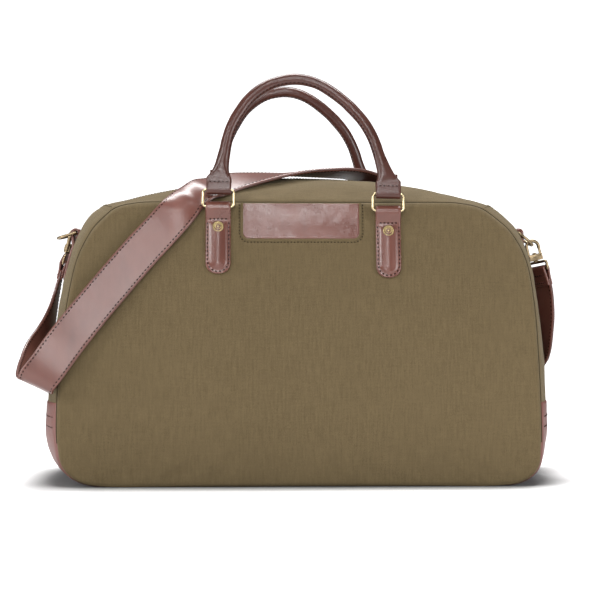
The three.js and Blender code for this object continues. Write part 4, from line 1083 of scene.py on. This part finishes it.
def add_hook(name, spec):
    place = spec["hook"]
    axes = np.array(place[1:4], float)
    arc = [(-6.4, -3.0), (-6.4, 0), (-6.4, 3), (-6.4, 6)]
    arc += [(6.4 * math.cos(a), 9 + 6.4 * math.sin(a)) for a in np.linspace(math.pi, 0, 20)]
    arc += [(6.4, 8.0), (6.4, 7.0)]
    arc = resample(spline(arc, np.linspace(0, 1, 200)), step=0.8)
    path = np.stack([arc[:, 0], arc[:, 1], np.zeros(len(arc))], axis=-1)
    inner = np.stack([tangents(path)[:, 1], -tangents(path)[:, 0], np.zeros(len(path))], axis=-1)
    add_tube(f"{name}_hook_wire", placed(place, path), 1.8, "hook_brass", f"{name}_hook", [f"{name}_hook"],
             side=inner @ axes, flat=2.0, sides=18)
    cheek = [
        ((0.6, -2.5, 2.35), (7.3, 3.5, 0.85), 0.6), ((0.6, -2.5, -2.35), (7.3, 3.5, 0.85), 0.6),
        ((-3.4, -2.5, 0), (3.1, 3.5, 3.0), 0.8), ((3.6, -4.6, 0), (4.4, 1.4, 3.0), 0.7),
    ]
    add_blocks(f"{name}_hook_base", place, cheek, "hook_brass", f"{name}_hook")
    gate = [((6.4, 2.4, 0), (1.4, 3.6, 1.1), 0.6), ((6.4, -1.2, 0), (1.6, 1.6, 1.15), 0.9)]
    add_blocks(f"{name}_gate", place, gate, "hook_brass", f"{name}_hook_gate", [f"{name}_hook_gate"])
    pin = np.array([[6.4, -1.2, -3.3], [6.4, -1.2, 0], [6.4, -1.2, 3.3]])
    add_tube(f"{name}_gate_pin", placed(place, pin), 0.8, "hook_brass", f"{name}_hook_gate", sides=12)
    eye = spec["eye"]
    loop = rounded_loop(43, 8, 2.2)
    loop = np.stack([loop[:, 0], -12.2 + loop[:, 1], np.zeros(len(loop))], axis=-1)
    add_tube(f"{name}_eye_frame", placed(eye, loop), 1.5, "hook_brass", f"{name}_hook",
             [f"{name}_swivel_eye"], closed=True, sides=16, side=np.array(eye[3]))
    up = np.array(eye[2], float)
    post = [(0, -8), (3, -8), (3, -6.8), (2.6, -6.2), (1.6, -6.1), (1.6, 1.2), (2.7, 1.3), (2.6, 2.1),
            (1.2, 2.5), (0, 2.5)]
    add_lathe(f"{name}_eye_post", post, eye[0], up, "hook_brass", f"{name}_hook", sides=24)
    bar = -16.2
    turn = [(bar + 2.9 * math.sin(a), 2.9 * math.cos(a)) for a in np.linspace(0, math.pi, 14)]
    down = [(-33, 1.95), (-28, 1.95), (-23, 2.1), (-19, 2.6)]
    profile = down + turn + [(y, -z) for y, z in down[::-1]]
    profile = resample(spline(profile, np.linspace(0, 1, 300)), step=0.9)
    path = np.stack([np.zeros(len(profile)), profile[:, 0], profile[:, 1]], axis=-1)
    eye_axes = np.array(eye[1:4], float)
    add_ribbon(f"{name}_strap_fold", placed(eye, path), np.broadcast_to(eye_axes[0], path.shape), 19, 2.5,
               "strap_leather", f"{name}_hook", [f"{name}_strap_end"], interior=16)
    runs = []
    for face in (-1, 1):
        for y in (-30.5, -22.5):
            across = np.linspace(-16, 16, 20)
            rise = 3.3 if y < -25 else 3.5
            line = np.stack([across, np.full(20, float(y)), np.full(20, face * rise)], axis=-1)
            runs.append((placed(eye, line), np.array([0, 0, face * 1.0]) @ eye_axes))
    add_stitches(f"{name}_strap_fold_stitches", runs, f"{name}_hook")


for ring_name, ring_spec in ENDS.items():
    add_d_ring(ring_name, ring_spec)
    add_hook(ring_name, ring_spec)

# ---------------------------------------------------------------- parts inside the bag
INSIDE_NODES = {"base_board": "board"}
for handle_name in HANDLES:
    for tab_side in ("left", "right"):
        INSIDE_NODES[f"{handle_name}_{tab_side}_rivet_washer"] = "antique_brass"
for node_name, node_material in INSIDE_NODES.items():
    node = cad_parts[node_name]
    node.data.materials.clear()
    node.data.materials.append(MATERIALS[node_material])


# ---------------------------------------------------------------- floor, lights and finish
FLOOR_HALF, BACKDROP_RADIUS = 1.3, 6


def add_stage(name, mesh, colour, glow):
    """A piece of the room round the bag, with a plain material that gives off a little light."""
    piece = bpy.data.objects.new(name, mesh)
    bpy.context.scene.collection.objects.link(piece)
    material = bpy.data.materials.new(name)
    material.use_nodes = True
    shader = material.node_tree.nodes["Principled BSDF"]
    shader.inputs["Base Color"].default_value = (colour, colour, colour, 1)
    shader.inputs["Emission Color"].default_value = (1, 1, 1, 1)
    shader.inputs["Emission Strength"].default_value = glow
    mesh.materials.append(material)
    return piece, material.node_tree, shader


def add_floor():
    """A white floor with a painted contact shadow: its colour darkens right beside what stands on it."""
    mesh = bpy.data.meshes.new("floor")
    corners = [(x * FLOOR_HALF, y * FLOOR_HALF, 0) for x, y in ((-1, -1), (1, -1), (1, 1), (-1, 1))]
    mesh.from_pydata(corners, [], [(0, 1, 2, 3)])
    _, tree, shader = add_stage("floor", mesh, 0.86, 0.03)
    shader.inputs["Roughness"].default_value = 0.7
    # Ambient occlusion darkens the floor's colour beside the bag: a painted contact shadow.
    painted_contact_shadow = tree.nodes.new("ShaderNodeAmbientOcclusion")
    painted_contact_shadow.inputs["Distance"].default_value = 0.05
    ramp = tree.nodes.new("ShaderNodeValToRGB")
    for element, place, grey in zip(ramp.color_ramp.elements, (0.5, 0.97), (0.1, 0.86)):
        element.position = place
        element.color = (grey, grey, grey, 1)
    tree.links.new(painted_contact_shadow.outputs["AO"], ramp.inputs["Fac"])
    tree.links.new(ramp.outputs["Color"], shader.inputs["Base Color"])


def add_backdrop():
    """A white dome round everything, which lights nothing and is in no reflection."""
    mesh = bpy.data.meshes.new("backdrop")
    shell = bmesh.new()
    bmesh.ops.create_uvsphere(shell, u_segments=48, v_segments=24, radius=BACKDROP_RADIUS)
    shell.to_mesh(mesh)
    shell.free()
    backdrop, _, _ = add_stage("backdrop", mesh, 0.9, 1.1)
    backdrop.visible_glossy = False
    backdrop.visible_diffuse = False
    backdrop.visible_shadow = False


add_floor()
add_backdrop()
world = bpy.data.worlds.new("studio")
world.use_nodes = True
world.node_tree.nodes["Background"].inputs["Color"].default_value = (1, 1, 1, 1)
world.node_tree.nodes["Background"].inputs["Strength"].default_value = 0.17
bpy.context.scene.world = world
MIDDLE = (0, 0, 0.18)
add_light("front_high", (0.0, -2.2, 2.05), (0, -0.1, 0.26), (0.6, 0.45), 26)
add_light("front_middle", (-0.36, -2.2, 1.1), (-0.15, -0.1, 0.18), (0.32, 0.26), 9)
add_light("front_low", (-0.08, -2.2, 0.6), (-0.1, -0.1, 0.15), (0.5, 0.3), 14)
add_light("key", (-1.4, -1.25, 1.15), (-0.15, -0.1, 0.15), (0.5, 0.5), 22)
add_light("top", (0.1, 0.42, 1.9), MIDDLE, (1.8, 0.22), 70)
add_light("right", (1.15, -0.9, 0.35), (0.1, -0.1, 0.12), (0.5, 0.8), 14)
add_light("left", (-1.6, -0.3, 0.4), MIDDLE, (0.6, 1.0), 16)
bpy.context.scene.view_settings.view_transform = "Standard"
